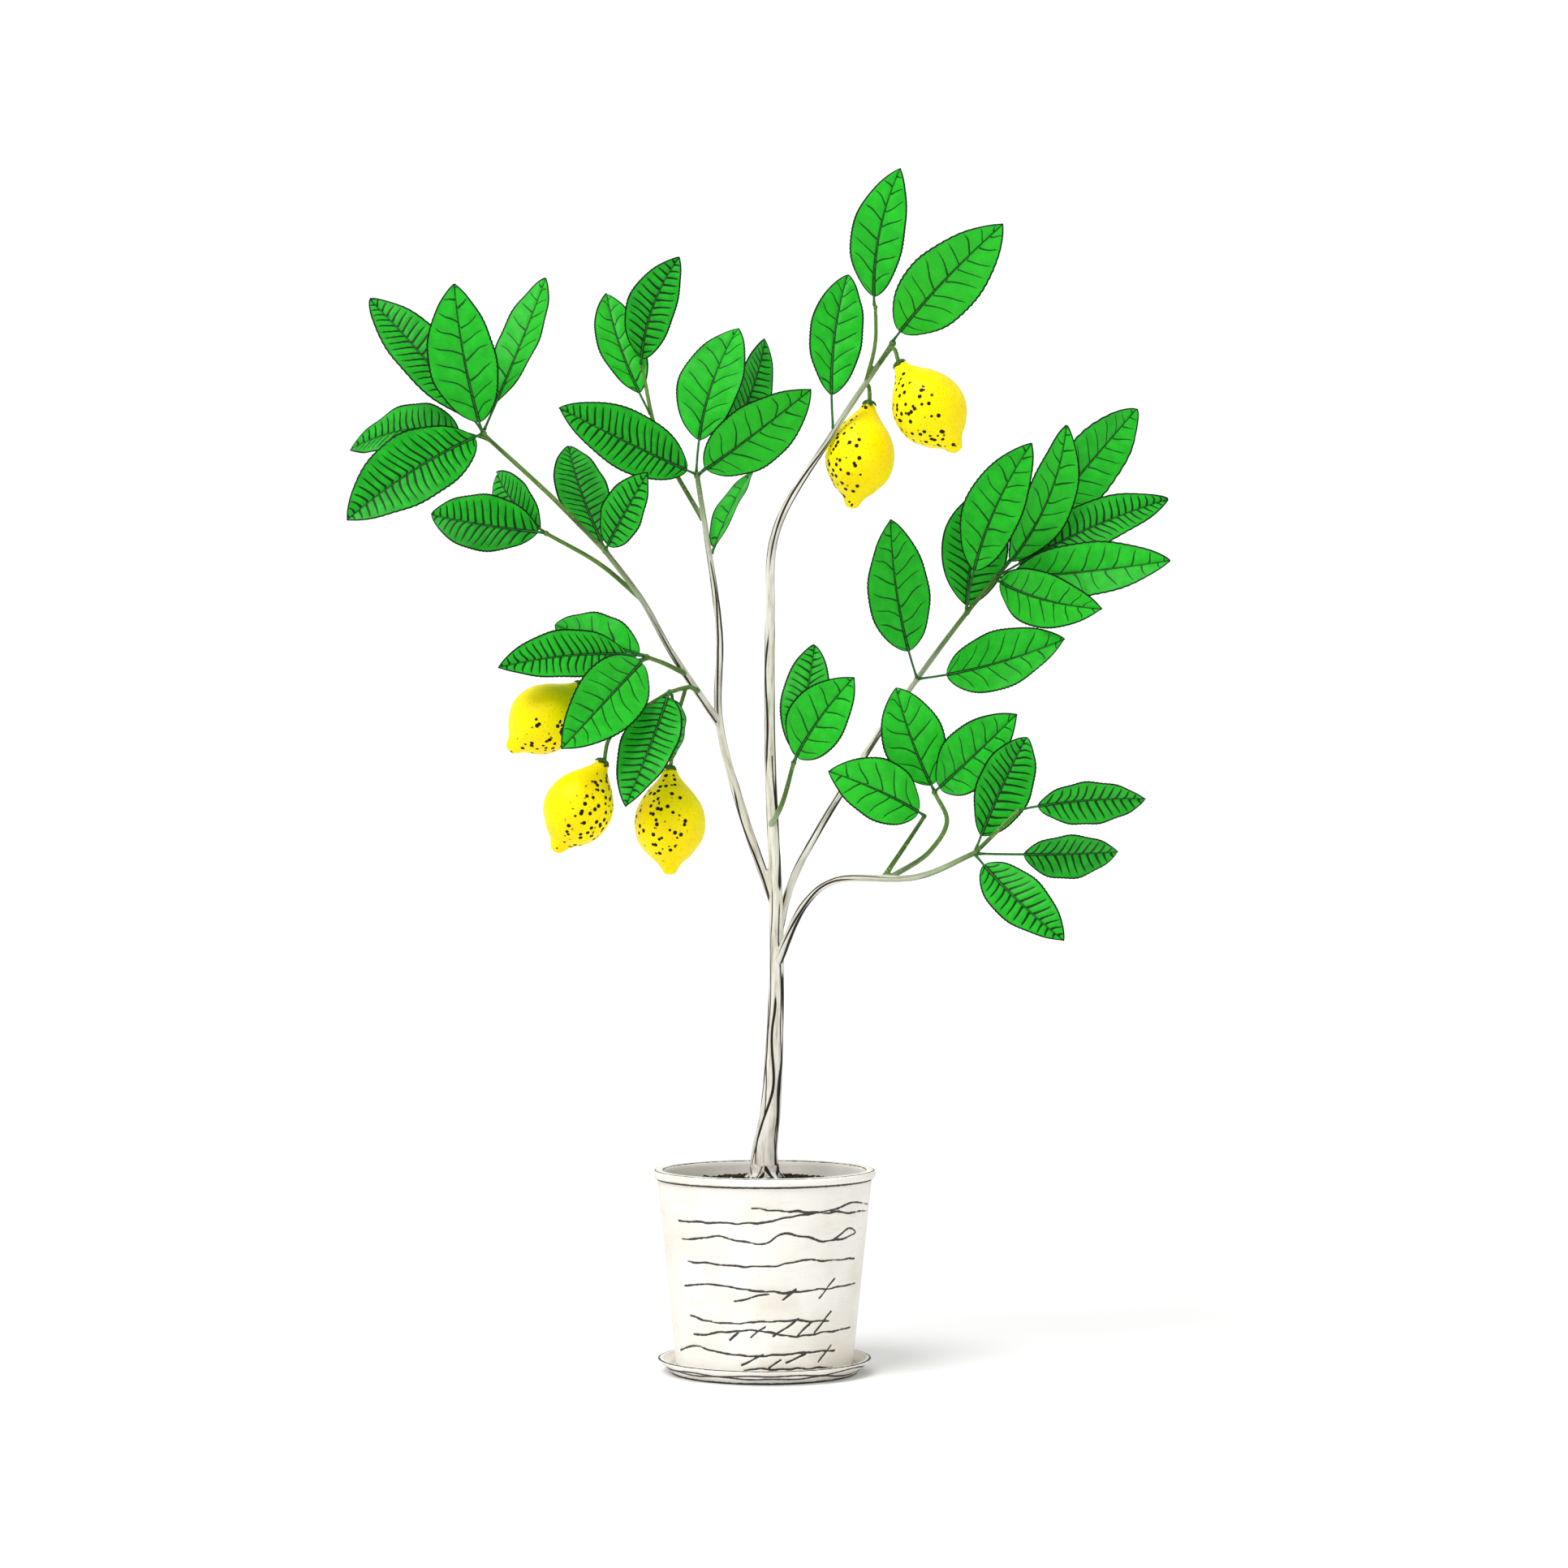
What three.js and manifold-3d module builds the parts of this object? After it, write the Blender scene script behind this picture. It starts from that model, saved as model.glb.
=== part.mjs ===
// A young lemon tree in a stoneware pot that stands on its saucer. Millimetres, +Z up, the origin
// under the middle of the saucer, and -Y the side it is looked at from.
// The wood, from the roots to the last twig, is one grown piece. Every leaf, fruit and calyx is its own.

import * as THREE from "three";
import { mergeVertices } from "three/addons/utils/BufferGeometryUtils.js";
import Module from "manifold-3d";

const wasm = await Module();
wasm.setup();

// Clearance between pieces that meet
const clearance = 0.3;

// Pot and saucer
const rimHeight = 175; // above the surface the saucer stands on
const rimRadius = 96;
const footRadius = 76;
const potWall = 7;
const potFloor = 7;
const lipHeight = 7;
const lipOverhang = 2.5;
const footRecess = 2;
const drainRadius = 9;
const saucerRadius = 92;
const saucerFootRadius = 80;
const saucerHeight = 13;
const saucerFloor = 5;
const saucerWall = 4.5;
const turnedSides = 36; // facets round the pot, the saucer and the soil

// Soil
const soilEdgeDepth = 15; // below the rim, where the soil meets the pot
const soilMoundDepth = 7; // below the rim, at the trunk

// Wood
const limbSides = 8;
const limbRings = 3; // rings of vertices to each span between two points
const twigRadius = 3.2; // a limb that starts thinner than this is a twig
const twigSides = 6;
const twigRings = 2;

// Leaves
const stalkRadius = 0.9;
const bladeThickness = 1;
const tipHalfWidth = 0.3;
const leafRings = 10;
const leafFold = 0.22; // rise of the blade per unit of width, either side of the midrib
const outlineBase = 0.7; // exponents that shape the blade's outline, at the base and at the tip
const outlineTip = 0.8;

// Fruit
const fruitSides = 16;
const calyxRadius = 5.6;
const calyxThickness = 1.8;
const calyxLobes = 5;

// Limbs, each a list of [x, y, z, radius] from where it leaves its parent: only the places where it
// turns or where its taper changes. A smooth curve joins them.
const limbs = {
  stem: [
    [0, 0, 90, 3],
    [0, 0, 125, 9],
    [0, 0, 165, 14],
    [0, 0, 190, 11],
    [5, 0, 225, 9],
    [10, 0, 320, 7],
    [10, 0, 400, 6],
    [5, 10, 530, 5],
    [5, 10, 650, 4.5],
    [10, 0, 725, 4],
    [60, -15, 810, 2.8],
    [110, -20, 885, 2.1],
  ],
  leftLimb: [
    [10, 0, 400, 4.4],
    [-20, 20, 485, 4.2],
    [-40, 45, 565, 3.8],
    [-40, 60, 640, 3.4],
    [-60, 90, 780, 2.2],
  ],
  leftArm: [
    [-40, 45, 560, 3.4],
    [-80, 0, 620, 3],
    [-105, -25, 665, 2.6],
    [-135, -50, 705, 2.3],
  ],
  leftFanTwig: [
    [-135, -50, 705, 2.2],
    [-180, -80, 750, 2],
    [-235, -105, 800, 1.8],
  ],
  leftLowTwig: [
    [-105, -25, 665, 2.2],
    [-140, -10, 695, 2],
    [-190, 30, 725, 1.7],
  ],
  middleBackTwig: [
    [-55, 85, 740, 2.2],
    [-95, 110, 815, 1.9],
    [-110, 125, 880, 1.6],
  ],
  sprayTwig: [
    [-68, 13, 602, 2.2],
    [-85, -20, 610, 2],
    [-100, -55, 615, 1.8],
  ],
  sprayLowTwig: [
    [-58, 24, 588, 2.2],
    [-65, -20, 590, 2],
    [-80, -60, 585, 1.8],
  ],
  rightArm: [
    [10, 0, 370, 4.2],
    [25, 20, 425, 3.8],
    [90, 80, 535, 3],
    [135, 110, 600, 2.5],
    [180, 120, 660, 2.1],
    [205, 110, 690, 1.9],
  ],
  rightLowArm: [
    [10, 0, 350, 4.2],
    [35, -35, 405, 3.6],
    [60, -65, 425, 3.2],
    [130, -120, 430, 2.6],
    [175, -145, 450, 2.2],
  ],
  rightTipTwig: [
    [175, -145, 450, 2],
    [190, -150, 465, 1.8],
    [210, -160, 485, 1.6],
  ],
  hangingLeafTwig: [
    [100, -97, 428, 2.2],
    [115, -95, 450, 2],
    [135, -90, 480, 1.7],
  ],
  rightLowTwig: [
    [105, -101, 428, 2.4],
    [140, -70, 450, 2.1],
    [155, -60, 475, 2],
    [145, -45, 500, 1.8],
  ],
  innerTwig: [
    [5, 5, 470, 2.6],
    [15, -20, 490, 2.2],
    [25, -60, 525, 1.8],
  ],
  topTwig: [
    [87, -18, 851, 1.9],
    [95, -25, 885, 1.6],
    [95, -30, 915, 1.5],
  ],
};

// Roots leave the collar evenly, each [distance from the trunk, height, radius] along its length.
const rootCount = 5;
const rootCourse = [
  [3, 172, 7],
  [17, 162, 5.4],
  [31, 146, 4],
  [44, 120, 2.8],
  [52, 90, 1.6],
];

// Swollen nodes that carry a fan of leaves: [limb, point along it, radius].
const nodes = [
  ["stem", 11, 4],
  ["leftLimb", 4, 4.2],
  ["leftArm", 3, 4],
  ["leftFanTwig", 2, 4.6],
  ["leftLowTwig", 2, 3.6],
  ["middleBackTwig", 2, 3.2],
  ["middleBackTwig", 1.3, 3],
  ["sprayTwig", 2, 3.8],
  ["sprayLowTwig", 2, 3.6],
  ["rightArm", 3, 4],
  ["rightArm", 4, 3.6],
  ["rightArm", 5, 4.8],
  ["rightLowArm", 4, 3.8],
  ["rightTipTwig", 2, 2.8],
  ["hangingLeafTwig", 2, 2.8],
  ["rightLowTwig", 3, 3.6],
  ["innerTwig", 2, 3.4],
  ["topTwig", 2, 2.8],
];

// Leaves: [limb, point along it, angle, lean, length, width, turn, stalk, arch, bow]. The angle is the
// leaf's seen from the front, from +X towards +Z, and the lean is towards the front, both in degrees.
// The turn of the face about the leaf's own length is in degrees, and 0 looks to -Y. The arch is
// towards the face, the bow sideways.
const leaves = {
  left_fan_1: ["leftFanTwig", 2, 130, -15, 160, 50, 25, 18, 6, 1],
  left_fan_2: ["leftFanTwig", 2, 100, 20, 130, 60, -15, 12, 9, -1],
  left_fan_3: ["leftFanTwig", 2, 70, -15, 150, 42, -35, 30, 8, 8],
  left_fan_4: ["leftFanTwig", 1.9, 180, -35, 155, 48, 30, 34, 8, 12],
  left_fan_5: ["leftFanTwig", 2, 215, 25, 145, 64, 15, 10, 10, 2],
  left_low_1: ["leftLowTwig", 2, 170, -10, 105, 54, 20, 8, 8, -5],
  left_low_2: ["leftLowTwig", 2, 130, -35, 90, 42, -20, 8, 6, -3],
  left_inner_1: ["leftArm", 3, 110, -35, 125, 46, 20, 10, 6, -5],
  left_inner_2: ["leftArm", 3, 60, 30, 85, 42, -25, 8, 6, 2],
  middle_1: ["leftLimb", 4, 155, 20, 140, 58, 20, 12, 9, -5],
  middle_2: ["leftLimb", 4, 75, -10, 140, 60, -20, 32, 8, -7],
  middle_3: ["leftLimb", 4, 35, 25, 135, 58, 20, 12, 9, -1],
  middle_4: ["leftLimb", 4, 65, -30, 165, 40, 30, 50, 6, 10],
  middle_5: ["leftLimb", 3.5, 65, -30, 100, 38, -62, 10, 6, 6],
  middle_back_1: ["middleBackTwig", 1.3, 110, -20, 130, 44, 20, 24, 7, -8],
  middle_back_2: ["middleBackTwig", 2, 70, 20, 105, 46, -15, 8, 7, -6],
  top_1: ["stem", 10, 85, -15, 145, 48, 15, 32, 7, -9],
  top_2: ["topTwig", 2, 80, 15, 120, 48, -15, 10, 8, -6],
  top_3: ["stem", 11, 45, 35, 155, 62, 15, 16, 9, -6],
  right_fan_1: ["rightArm", 4, 70, 25, 170, 54, -20, 42, 8, -8],
  right_fan_2: ["rightArm", 4, 80, -10, 115, 62, 12, 8, 7, -6],
  right_fan_3: ["rightArm", 5, 65, 0, 150, 48, 25, 20, 9, 10],
  right_fan_4: ["rightArm", 5, 50, -25, 230, 56, 20, 60, 10, -5],
  right_fan_5: ["rightArm", 5, 25, -10, 175, 48, -30, 24, 8, -2],
  right_fan_6: ["rightArm", 5, 5, 20, 160, 52, -20, 16, 9, 6],
  right_fan_7: ["rightArm", 5, -20, 45, 130, 50, 15, 8, 8, 5],
  right_pair_1: ["rightArm", 3, 100, 20, 150, 58, 15, 30, 8, -8],
  right_pair_2: ["rightArm", 3, 15, 25, 145, 56, -20, 32, 8, 8],
  inner_1: ["innerTwig", 2, 80, -20, 110, 42, -20, 10, 6, 3],
  inner_2: ["innerTwig", 2, 55, 30, 100, 52, -15, 8, 7, -2],
  right_low_1: ["rightLowTwig", 3, 110, 0, 95, 56, 15, 8, 7, -5],
  right_low_2: ["hangingLeafTwig", 2, 155, 20, 95, 54, 15, 8, 8, 1],
  right_low_3: ["rightLowTwig", 3, 45, 40, 120, 52, -20, 10, 8, 3],
  right_low_4: ["rightLowArm", 4, 65, -15, 110, 50, 20, 16, 7, -5],
  right_tips_1: ["rightTipTwig", 2, 5, 5, 105, 44, 35, 18, 7, -9],
  right_tips_2: ["rightLowArm", 4, 0, -5, 120, 46, 35, 40, 7, -3],
  right_tips_3: ["rightLowArm", 4, -45, 25, 110, 46, -20, 16, 7, 6],
  spray_1: ["sprayTwig", 2, 160, -10, 85, 50, 30, 8, 8, -6],
  spray_2: ["sprayTwig", 2, 185, 30, 140, 46, 25, 20, 9, 2],
  spray_3: ["sprayTwig", 2, 230, 45, 145, 58, -10, 12, 9, 1],
  spray_4: ["sprayLowTwig", 2, 250, 35, 125, 50, 20, 8, 8, -4],
  spray_5: ["sprayLowTwig", 2, 270, -25, 65, 32, -72, 8, 6, 1],
};

// Fruits: the twig points that its stalk runs through, then the two ends of the fruit and its girth.
const fruits = {
  top_right: {
    stalk: [[99, -20, 868, 1.9], [110, -30, 880, 1.8]],
    stem: [115, -40, 865], nipple: [165, -50, 790], radius: 31,
  },
  top_left: {
    stalk: [[87, -18, 851, 1.9], [90, -8, 848, 1.8]],
    stem: [90, 0, 835], nipple: [75, 5, 745], radius: 30,
  },
  spray_left: {
    stalk: [[-98, -52, 614, 1.8], [-130, -65, 605, 1.7]],
    stem: [-155, -75, 590], nipple: [-215, -85, 535], radius: 29,
  },
  spray_middle: {
    stalk: [[-80, -60, 585, 1.8], [-110, -85, 565, 1.7], [-130, -95, 545, 1.7]],
    stem: [-135, -100, 525], nipple: [-175, -105, 450], radius: 29,
  },
  spray_right: {
    stalk: [[-67, -28, 590, 1.8], [-75, -45, 560, 1.7]],
    stem: [-80, -60, 520], nipple: [-80, -65, 430], radius: 30,
  },
};

// Half outline of a fruit, from the nipple to the neck: [share of the length, share of the radius].
const fruitProfile = [
  [0, 0],
  [0.012, 0.16],
  [0.06, 0.25],
  [0.12, 0.36],
  [0.21, 0.66],
  [0.33, 0.91],
  [0.47, 1],
  [0.62, 0.93],
  [0.76, 0.7],
  [0.87, 0.4],
  [0.94, 0.26],
  [0.99, 0.2],
  [1, 0],
];

const toVector = (p) => new THREE.Vector3(p[0], p[1], p[2]);

// A closed geometry as a solid that can be joined and cut.
function solidOf(geometry) {
  const bare = geometry.clone();
  bare.deleteAttribute("normal");
  bare.deleteAttribute("uv");
  const merged = mergeVertices(bare, 1e-4);
  return new wasm.Manifold(
    new wasm.Mesh({
      numProp: 3,
      vertProperties: new Float32Array(merged.attributes.position.array),
      triVerts: new Uint32Array(merged.index.array),
    }),
  );
}

function geometryOf(solid) {
  const { vertProperties, triVerts, numProp, numVert } = solid.getMesh();
  const positions = new Float32Array(numVert * 3);
  for (let i = 0; i < numVert; i++) {
    positions.set(vertProperties.subarray(i * numProp, i * numProp + 3), i * 3);
  }
  const geometry = new THREE.BufferGeometry();
  geometry.setAttribute("position", new THREE.BufferAttribute(positions, 3));
  geometry.setIndex(new THREE.BufferAttribute(triVerts, 1));
  geometry.computeVertexNormals();
  return geometry;
}

// Moves every vertex of a geometry to where place(vertex) says.
function reshape(geometry, place) {
  const position = geometry.attributes.position;
  const vertex = new THREE.Vector3();
  for (let i = 0; i < position.count; i++) {
    const moved = place(vertex.fromBufferAttribute(position, i));
    position.setXYZ(i, moved.x, moved.y, moved.z);
  }
  return geometry;
}

const curveOf = (points) =>
  new THREE.CatmullRomCurve3(points.map(toVector), false, "centripetal");

// The place and the direction of a limb at one of its points, counted from 0, or between two.
function onLimb(points, at) {
  const curve = curveOf(points);
  const share = at / (points.length - 1);
  return { place: curve.getPoint(share), heading: curve.getTangent(share) };
}

function radiusAt(points, at) {
  const lower = Math.min(Math.floor(at), points.length - 2);
  return THREE.MathUtils.lerp(points[lower][3], points[lower + 1][3], at - lower);
}

// A round limb that tapers along its points. grow makes a thicker one, for cutting its neighbours.
function limbSolid(points, grow = 0) {
  const spans = points.length - 1;
  const [sides, rings] =
    points[0][3] < twigRadius ? [twigSides, twigRings] : [limbSides, limbRings];
  const end = onLimb(points, spans);
  const across = new THREE.Vector3(0, 1, 0);
  const tube = new THREE.CylinderGeometry(1, 1, 1, sides, spans * rings);
  return solidOf(
    reshape(tube, (vertex) => {
      const at = THREE.MathUtils.clamp((vertex.y + 0.5) * spans, 0, spans);
      const { place, heading } = onLimb(points, at);
      const side = heading.clone().cross(across).normalize();
      const up = side.clone().cross(heading);
      const radius = radiusAt(points, at) + grow;
      if (at === spans) place.addScaledVector(end.heading, grow);
      return place.addScaledVector(side, vertex.x * radius).addScaledVector(up, vertex.z * radius);
    }),
  );
}

function nodeSolid([limb, at, radius], grow) {
  const ball = new THREE.SphereGeometry(radius + grow, limbSides, limbSides / 2 + 2);
  const { place } = onLimb(limbs[limb], at);
  return solidOf(ball.translate(place.x, place.y, place.z));
}

function rootPoints(index) {
  const angle = ((index + 0.25) / rootCount) * Math.PI * 2;
  return rootCourse.map(([reach, height, radius]) => [
    reach * Math.cos(angle),
    reach * Math.sin(angle),
    height,
    radius,
  ]);
}

// The unit vector from a fruit's nipple to its neck.
const fruitAxis = (fruit) => toVector(fruit.stem).sub(toVector(fruit.nipple)).normalize();

// A fruit's stalk ends on top of its calyx.
function stalkPoints(fruit) {
  const calyxTop = toVector(fruit.stem).addScaledVector(
    fruitAxis(fruit),
    calyxThickness + 2 * clearance,
  );
  return [...fruit.stalk, [...calyxTop, fruit.stalk.at(-1)[3]]];
}

// Roots, trunk, limbs, twigs and fruit stalks, all grown together.
function woodSolid(grow = 0) {
  const courses = [
    ...Object.values(limbs),
    ...Array.from({ length: rootCount }, (_, index) => rootPoints(index)),
    ...Object.values(fruits).map(stalkPoints),
  ];
  const pieces = [
    ...courses.map((points) => limbSolid(points, grow)),
    ...nodes.map((node) => nodeSolid(node, grow)),
  ];
  return pieces.reduce((joined, piece) => joined.add(piece));
}

// The largest piece of a mesh's solid that is left once the cutter, in the part's frame, is taken out.
function cutMesh(mesh, cutter) {
  mesh.updateMatrixWorld(true);
  const toLocal = mesh.matrixWorld.clone().invert();
  const left = solidOf(mesh.geometry).subtract(cutter.transform(toLocal.elements));
  const bodies = left.decompose().sort((a, b) => b.volume() - a.volume());
  mesh.geometry = geometryOf(bodies[0]);
  return mesh;
}

// The half width of a blade, as a share of its widest, at a share of its length.
function outline(share) {
  const shape = (s) => s ** outlineBase * (1 - s) ** outlineTip;
  return shape(share) / shape(outlineBase / (outlineBase + outlineTip));
}

// A leaf along +Y from its stalk's foot at the origin, its upper face to +Z.
function leafGeometry(length, width, stalk, arch, bow) {
  const stalkShare = stalk / length;
  return reshape(new THREE.CylinderGeometry(1, 1, 1, 4, leafRings), (vertex) => {
    const ring = Math.round((vertex.y + 0.5) * leafRings);
    const bladeShare = Math.max(0, ring - 1) / (leafRings - 1);
    const share = ring === 0 ? 0 : stalkShare + (1 - stalkShare) * bladeShare;
    const foot = ring < 2 ? stalkRadius : tipHalfWidth;
    const halfWidth = Math.max(foot, (width / 2) * outline(bladeShare));
    const halfThick = Math.max(ring < 2 ? stalkRadius : 0, (bladeThickness / 2) * (1 - bladeShare / 2));
    const bend = 4 * share * (1 - share);
    const fold = ring < 2 ? 0 : Math.abs(vertex.x) * halfWidth * leafFold;
    return new THREE.Vector3(
      vertex.x * halfWidth + bow * bend,
      share * length,
      arch * bend + fold + vertex.z * halfThick,
    );
  });
}

// Places a leaf's mesh: +Y to its tip and +Z to -Y of the part, turned about its length.
function leafMesh([limb, at, angle, lean, length, width, turn, stalk, arch, bow], material) {
  const foot = onLimb(limbs[limb], at).place;
  const [seen, forward] = [angle, lean].map(THREE.MathUtils.degToRad);
  const along = new THREE.Vector3(
    Math.cos(seen) * Math.cos(forward),
    -Math.sin(forward),
    Math.sin(seen) * Math.cos(forward),
  );
  const front = new THREE.Vector3(0, -1, 0);
  const face = front.addScaledVector(along, -front.dot(along)).normalize();
  face.applyAxisAngle(along, THREE.MathUtils.degToRad(turn));
  const mesh = new THREE.Mesh(leafGeometry(length, width, stalk, arch, bow), material);
  mesh.position.copy(foot);
  mesh.quaternion.setFromRotationMatrix(
    new THREE.Matrix4().makeBasis(along.clone().cross(face), along, face),
  );
  return mesh;
}

function fruitMesh(fruit, material) {
  const length = toVector(fruit.stem).distanceTo(toVector(fruit.nipple));
  const profile = fruitProfile.map(
    ([along, out]) => new THREE.Vector2(out * fruit.radius, along * length),
  );
  const mesh = new THREE.Mesh(new THREE.LatheGeometry(profile, fruitSides), material);
  mesh.position.set(...fruit.nipple);
  mesh.quaternion.setFromUnitVectors(new THREE.Vector3(0, 1, 0), fruitAxis(fruit));
  return mesh;
}

// A five-lobed disc that sits on the fruit's neck.
function calyxMesh(fruit, material) {
  const shape = new THREE.Shape();
  for (let i = 0; i < calyxLobes * 2; i++) {
    const angle = (i / (calyxLobes * 2)) * Math.PI * 2;
    const reach = calyxRadius * (i % 2 ? 0.72 : 1);
    shape[i ? "lineTo" : "moveTo"](reach * Math.cos(angle), reach * Math.sin(angle));
  }
  shape.closePath();
  const disc = new THREE.ExtrudeGeometry(shape, { depth: calyxThickness, bevelEnabled: false });
  const mesh = new THREE.Mesh(disc, material);
  mesh.position.set(...fruit.stem).addScaledVector(fruitAxis(fruit), clearance);
  mesh.quaternion.setFromUnitVectors(new THREE.Vector3(0, 0, 1), fruitAxis(fruit));
  return mesh;
}

// A profile of [radius, height] points turned about the vertical axis.
function turnedMesh(profile, material) {
  const points = profile.map(([radius, height]) => new THREE.Vector2(radius, height));
  const mesh = new THREE.Mesh(new THREE.LatheGeometry(points, turnedSides), material);
  mesh.rotation.x = Math.PI / 2;
  return mesh;
}

const potBase = saucerFloor + clearance;
const wallRun = rimHeight - potBase;
// The pot's outer radius under the lip, at a height above the surface it all stands on.
const potRadiusAt = (height) =>
  THREE.MathUtils.lerp(footRadius, rimRadius - lipOverhang, (height - potBase) / wallRun);
const innerRadiusAt = (height) => potRadiusAt(height) - potWall;
const potFloorTop = potBase + potFloor;
const innerCorner = 4;

function potProfile() {
  const lipFoot = rimHeight - lipHeight;
  const recessRadius = footRadius - 10;
  return [
    [drainRadius, potBase + footRecess],
    [recessRadius, potBase + footRecess],
    [recessRadius + footRecess, potBase],
    [footRadius - 1.5, potBase],
    [footRadius, potBase + 1.5],
    [potRadiusAt(lipFoot), lipFoot],
    [rimRadius - 0.5, lipFoot + 1],
    [rimRadius, lipFoot + 2.5],
    [rimRadius, rimHeight - 2],
    [rimRadius - 2, rimHeight],
    [innerRadiusAt(rimHeight) + 2, rimHeight],
    [innerRadiusAt(rimHeight), rimHeight - 2],
    [innerRadiusAt(potFloorTop + innerCorner), potFloorTop + innerCorner],
    [innerRadiusAt(potFloorTop) - innerCorner, potFloorTop],
    [drainRadius, potFloorTop],
    [drainRadius, potBase + footRecess],
  ];
}

function saucerProfile() {
  const bevel = 1.5;
  return [
    [0, 0],
    [saucerFootRadius - bevel, 0],
    [saucerFootRadius, bevel],
    [saucerRadius, saucerHeight - bevel],
    [saucerRadius - bevel / 2, saucerHeight],
    [saucerRadius - saucerWall, saucerHeight],
    [saucerFootRadius + bevel, saucerFloor + 2.5],
    [saucerFootRadius - bevel, saucerFloor],
    [0, saucerFloor],
  ];
}

// The soil fills the pot, down into the drain hole, and is heaped towards the trunk.
function soilProfile() {
  const edge = rimHeight - soilEdgeDepth;
  const mound = rimHeight - soilMoundDepth;
  return [
    [0, potBase + footRecess],
    [drainRadius - clearance, potBase + footRecess],
    [drainRadius - clearance, potFloorTop + clearance],
    [innerRadiusAt(potFloorTop) - innerCorner - clearance, potFloorTop + clearance],
    [innerRadiusAt(potFloorTop + innerCorner) - clearance, potFloorTop + innerCorner + clearance],
    [innerRadiusAt(edge) - clearance, edge],
    [innerRadiusAt(edge) * 0.7, edge + (mound - edge) * 0.4],
    [innerRadiusAt(edge) * 0.4, edge + (mound - edge) * 0.8],
    [0, mound],
  ];
}

const finish = (color, roughness) => new THREE.MeshStandardMaterial({ color, roughness, metalness: 0 });
const finishes = {
  stoneware: finish(0xf1eee6, 0.55),
  soil: finish(0x3b2a1e, 0.95),
  bark: finish(0x6b5a48, 0.85),
  leaf: finish(0x32b734, 0.45),
  rind: finish(0xfeed00, 0.4),
  calyx: finish(0x4f7d33, 0.7),
};

const tree = new THREE.Group();

function add(name, mesh) {
  mesh.name = name;
  tree.add(mesh);
}

const wood = woodSolid();
const woodCutter = woodSolid(clearance);

add("saucer", turnedMesh(saucerProfile(), finishes.stoneware));
add("pot", turnedMesh(potProfile(), finishes.stoneware));
add("soil", cutMesh(turnedMesh(soilProfile(), finishes.soil), woodCutter));
add("trunk_and_branches", new THREE.Mesh(geometryOf(wood), finishes.bark));
for (const [name, leaf] of Object.entries(leaves)) {
  add(`leaf_${name}`, cutMesh(leafMesh(leaf, finishes.leaf), woodCutter));
}
for (const [name, fruit] of Object.entries(fruits)) {
  add(`lemon_${name}`, fruitMesh(fruit, finishes.rind));
  add(`calyx_${name}`, cutMesh(calyxMesh(fruit, finishes.calyx), woodCutter));
}

export default tree;
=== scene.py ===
import math
import random
from functools import partial

import bmesh
import bpy
from mathutils import Matrix, Vector, noise
from mathutils.bvhtree import BVHTree
from mathutils.kdtree import KDTree


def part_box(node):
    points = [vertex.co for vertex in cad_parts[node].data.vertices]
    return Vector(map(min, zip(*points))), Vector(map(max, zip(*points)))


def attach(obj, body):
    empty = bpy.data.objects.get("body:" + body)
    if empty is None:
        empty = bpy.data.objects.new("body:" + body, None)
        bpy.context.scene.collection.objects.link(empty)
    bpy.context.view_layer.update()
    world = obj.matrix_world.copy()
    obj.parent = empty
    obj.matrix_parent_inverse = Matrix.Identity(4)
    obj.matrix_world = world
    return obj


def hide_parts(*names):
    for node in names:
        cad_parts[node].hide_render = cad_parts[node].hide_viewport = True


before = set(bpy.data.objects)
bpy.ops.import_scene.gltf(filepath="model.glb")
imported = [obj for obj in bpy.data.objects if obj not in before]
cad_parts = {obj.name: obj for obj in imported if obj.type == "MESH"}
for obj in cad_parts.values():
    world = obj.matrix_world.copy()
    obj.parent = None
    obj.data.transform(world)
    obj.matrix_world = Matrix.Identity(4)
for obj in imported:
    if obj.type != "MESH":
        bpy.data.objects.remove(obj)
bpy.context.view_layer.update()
scene = bpy.context.scene
mm = 0.001


def linear(hexColour):
    channels = [int(hexColour[i:i + 2], 16) / 255 for i in (1, 3, 5)]
    return [c / 12.92 if c <= 0.04045 else ((c + 0.055) / 1.055) ** 2.4 for c in channels] + [1.0]


# Adds a shader node with its settings and links, and gives back one of its outputs.
def addNode(tree, kind, inputs=None, out=0, stops=(), **settings):
    node = tree.nodes.new("ShaderNode" + kind)
    for name, value in settings.items():
        setattr(node, name, value)
    for socket, value in (inputs or {}).items():
        if isinstance(value, bpy.types.NodeSocket):
            tree.links.new(value, node.inputs[socket])
        else:
            node.inputs[socket].default_value = linear(value) if isinstance(value, str) else value
    for i, (position, colour) in enumerate(stops):  # a colour ramp's, from low to high
        stop = node.color_ramp.elements[i] if i < 2 else node.color_ramp.elements.new(position)
        stop.position = position
        stop.color = linear(colour)
    return node.outputs[out]


# A new material with its constant values set, what adds nodes to it, and its shader.
def newMaterial(name, **constants):
    material = bpy.data.materials.new(name)
    material.use_nodes = True
    shader = material.node_tree.nodes["Principled BSDF"]
    for socket, value in constants.items():
        shader.inputs[socket.replace("_", " ")].default_value = value
    return material, partial(addNode, material.node_tree), shader


def feed(shader, colour, normal):
    shader.id_data.links.new(colour, shader.inputs["Base Color"])
    shader.id_data.links.new(normal, shader.inputs["Normal"])


def meshFrom(bm, name):
    mesh = bpy.data.meshes.new(name)
    bm.to_mesh(mesh)
    bm.free()
    return mesh


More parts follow.
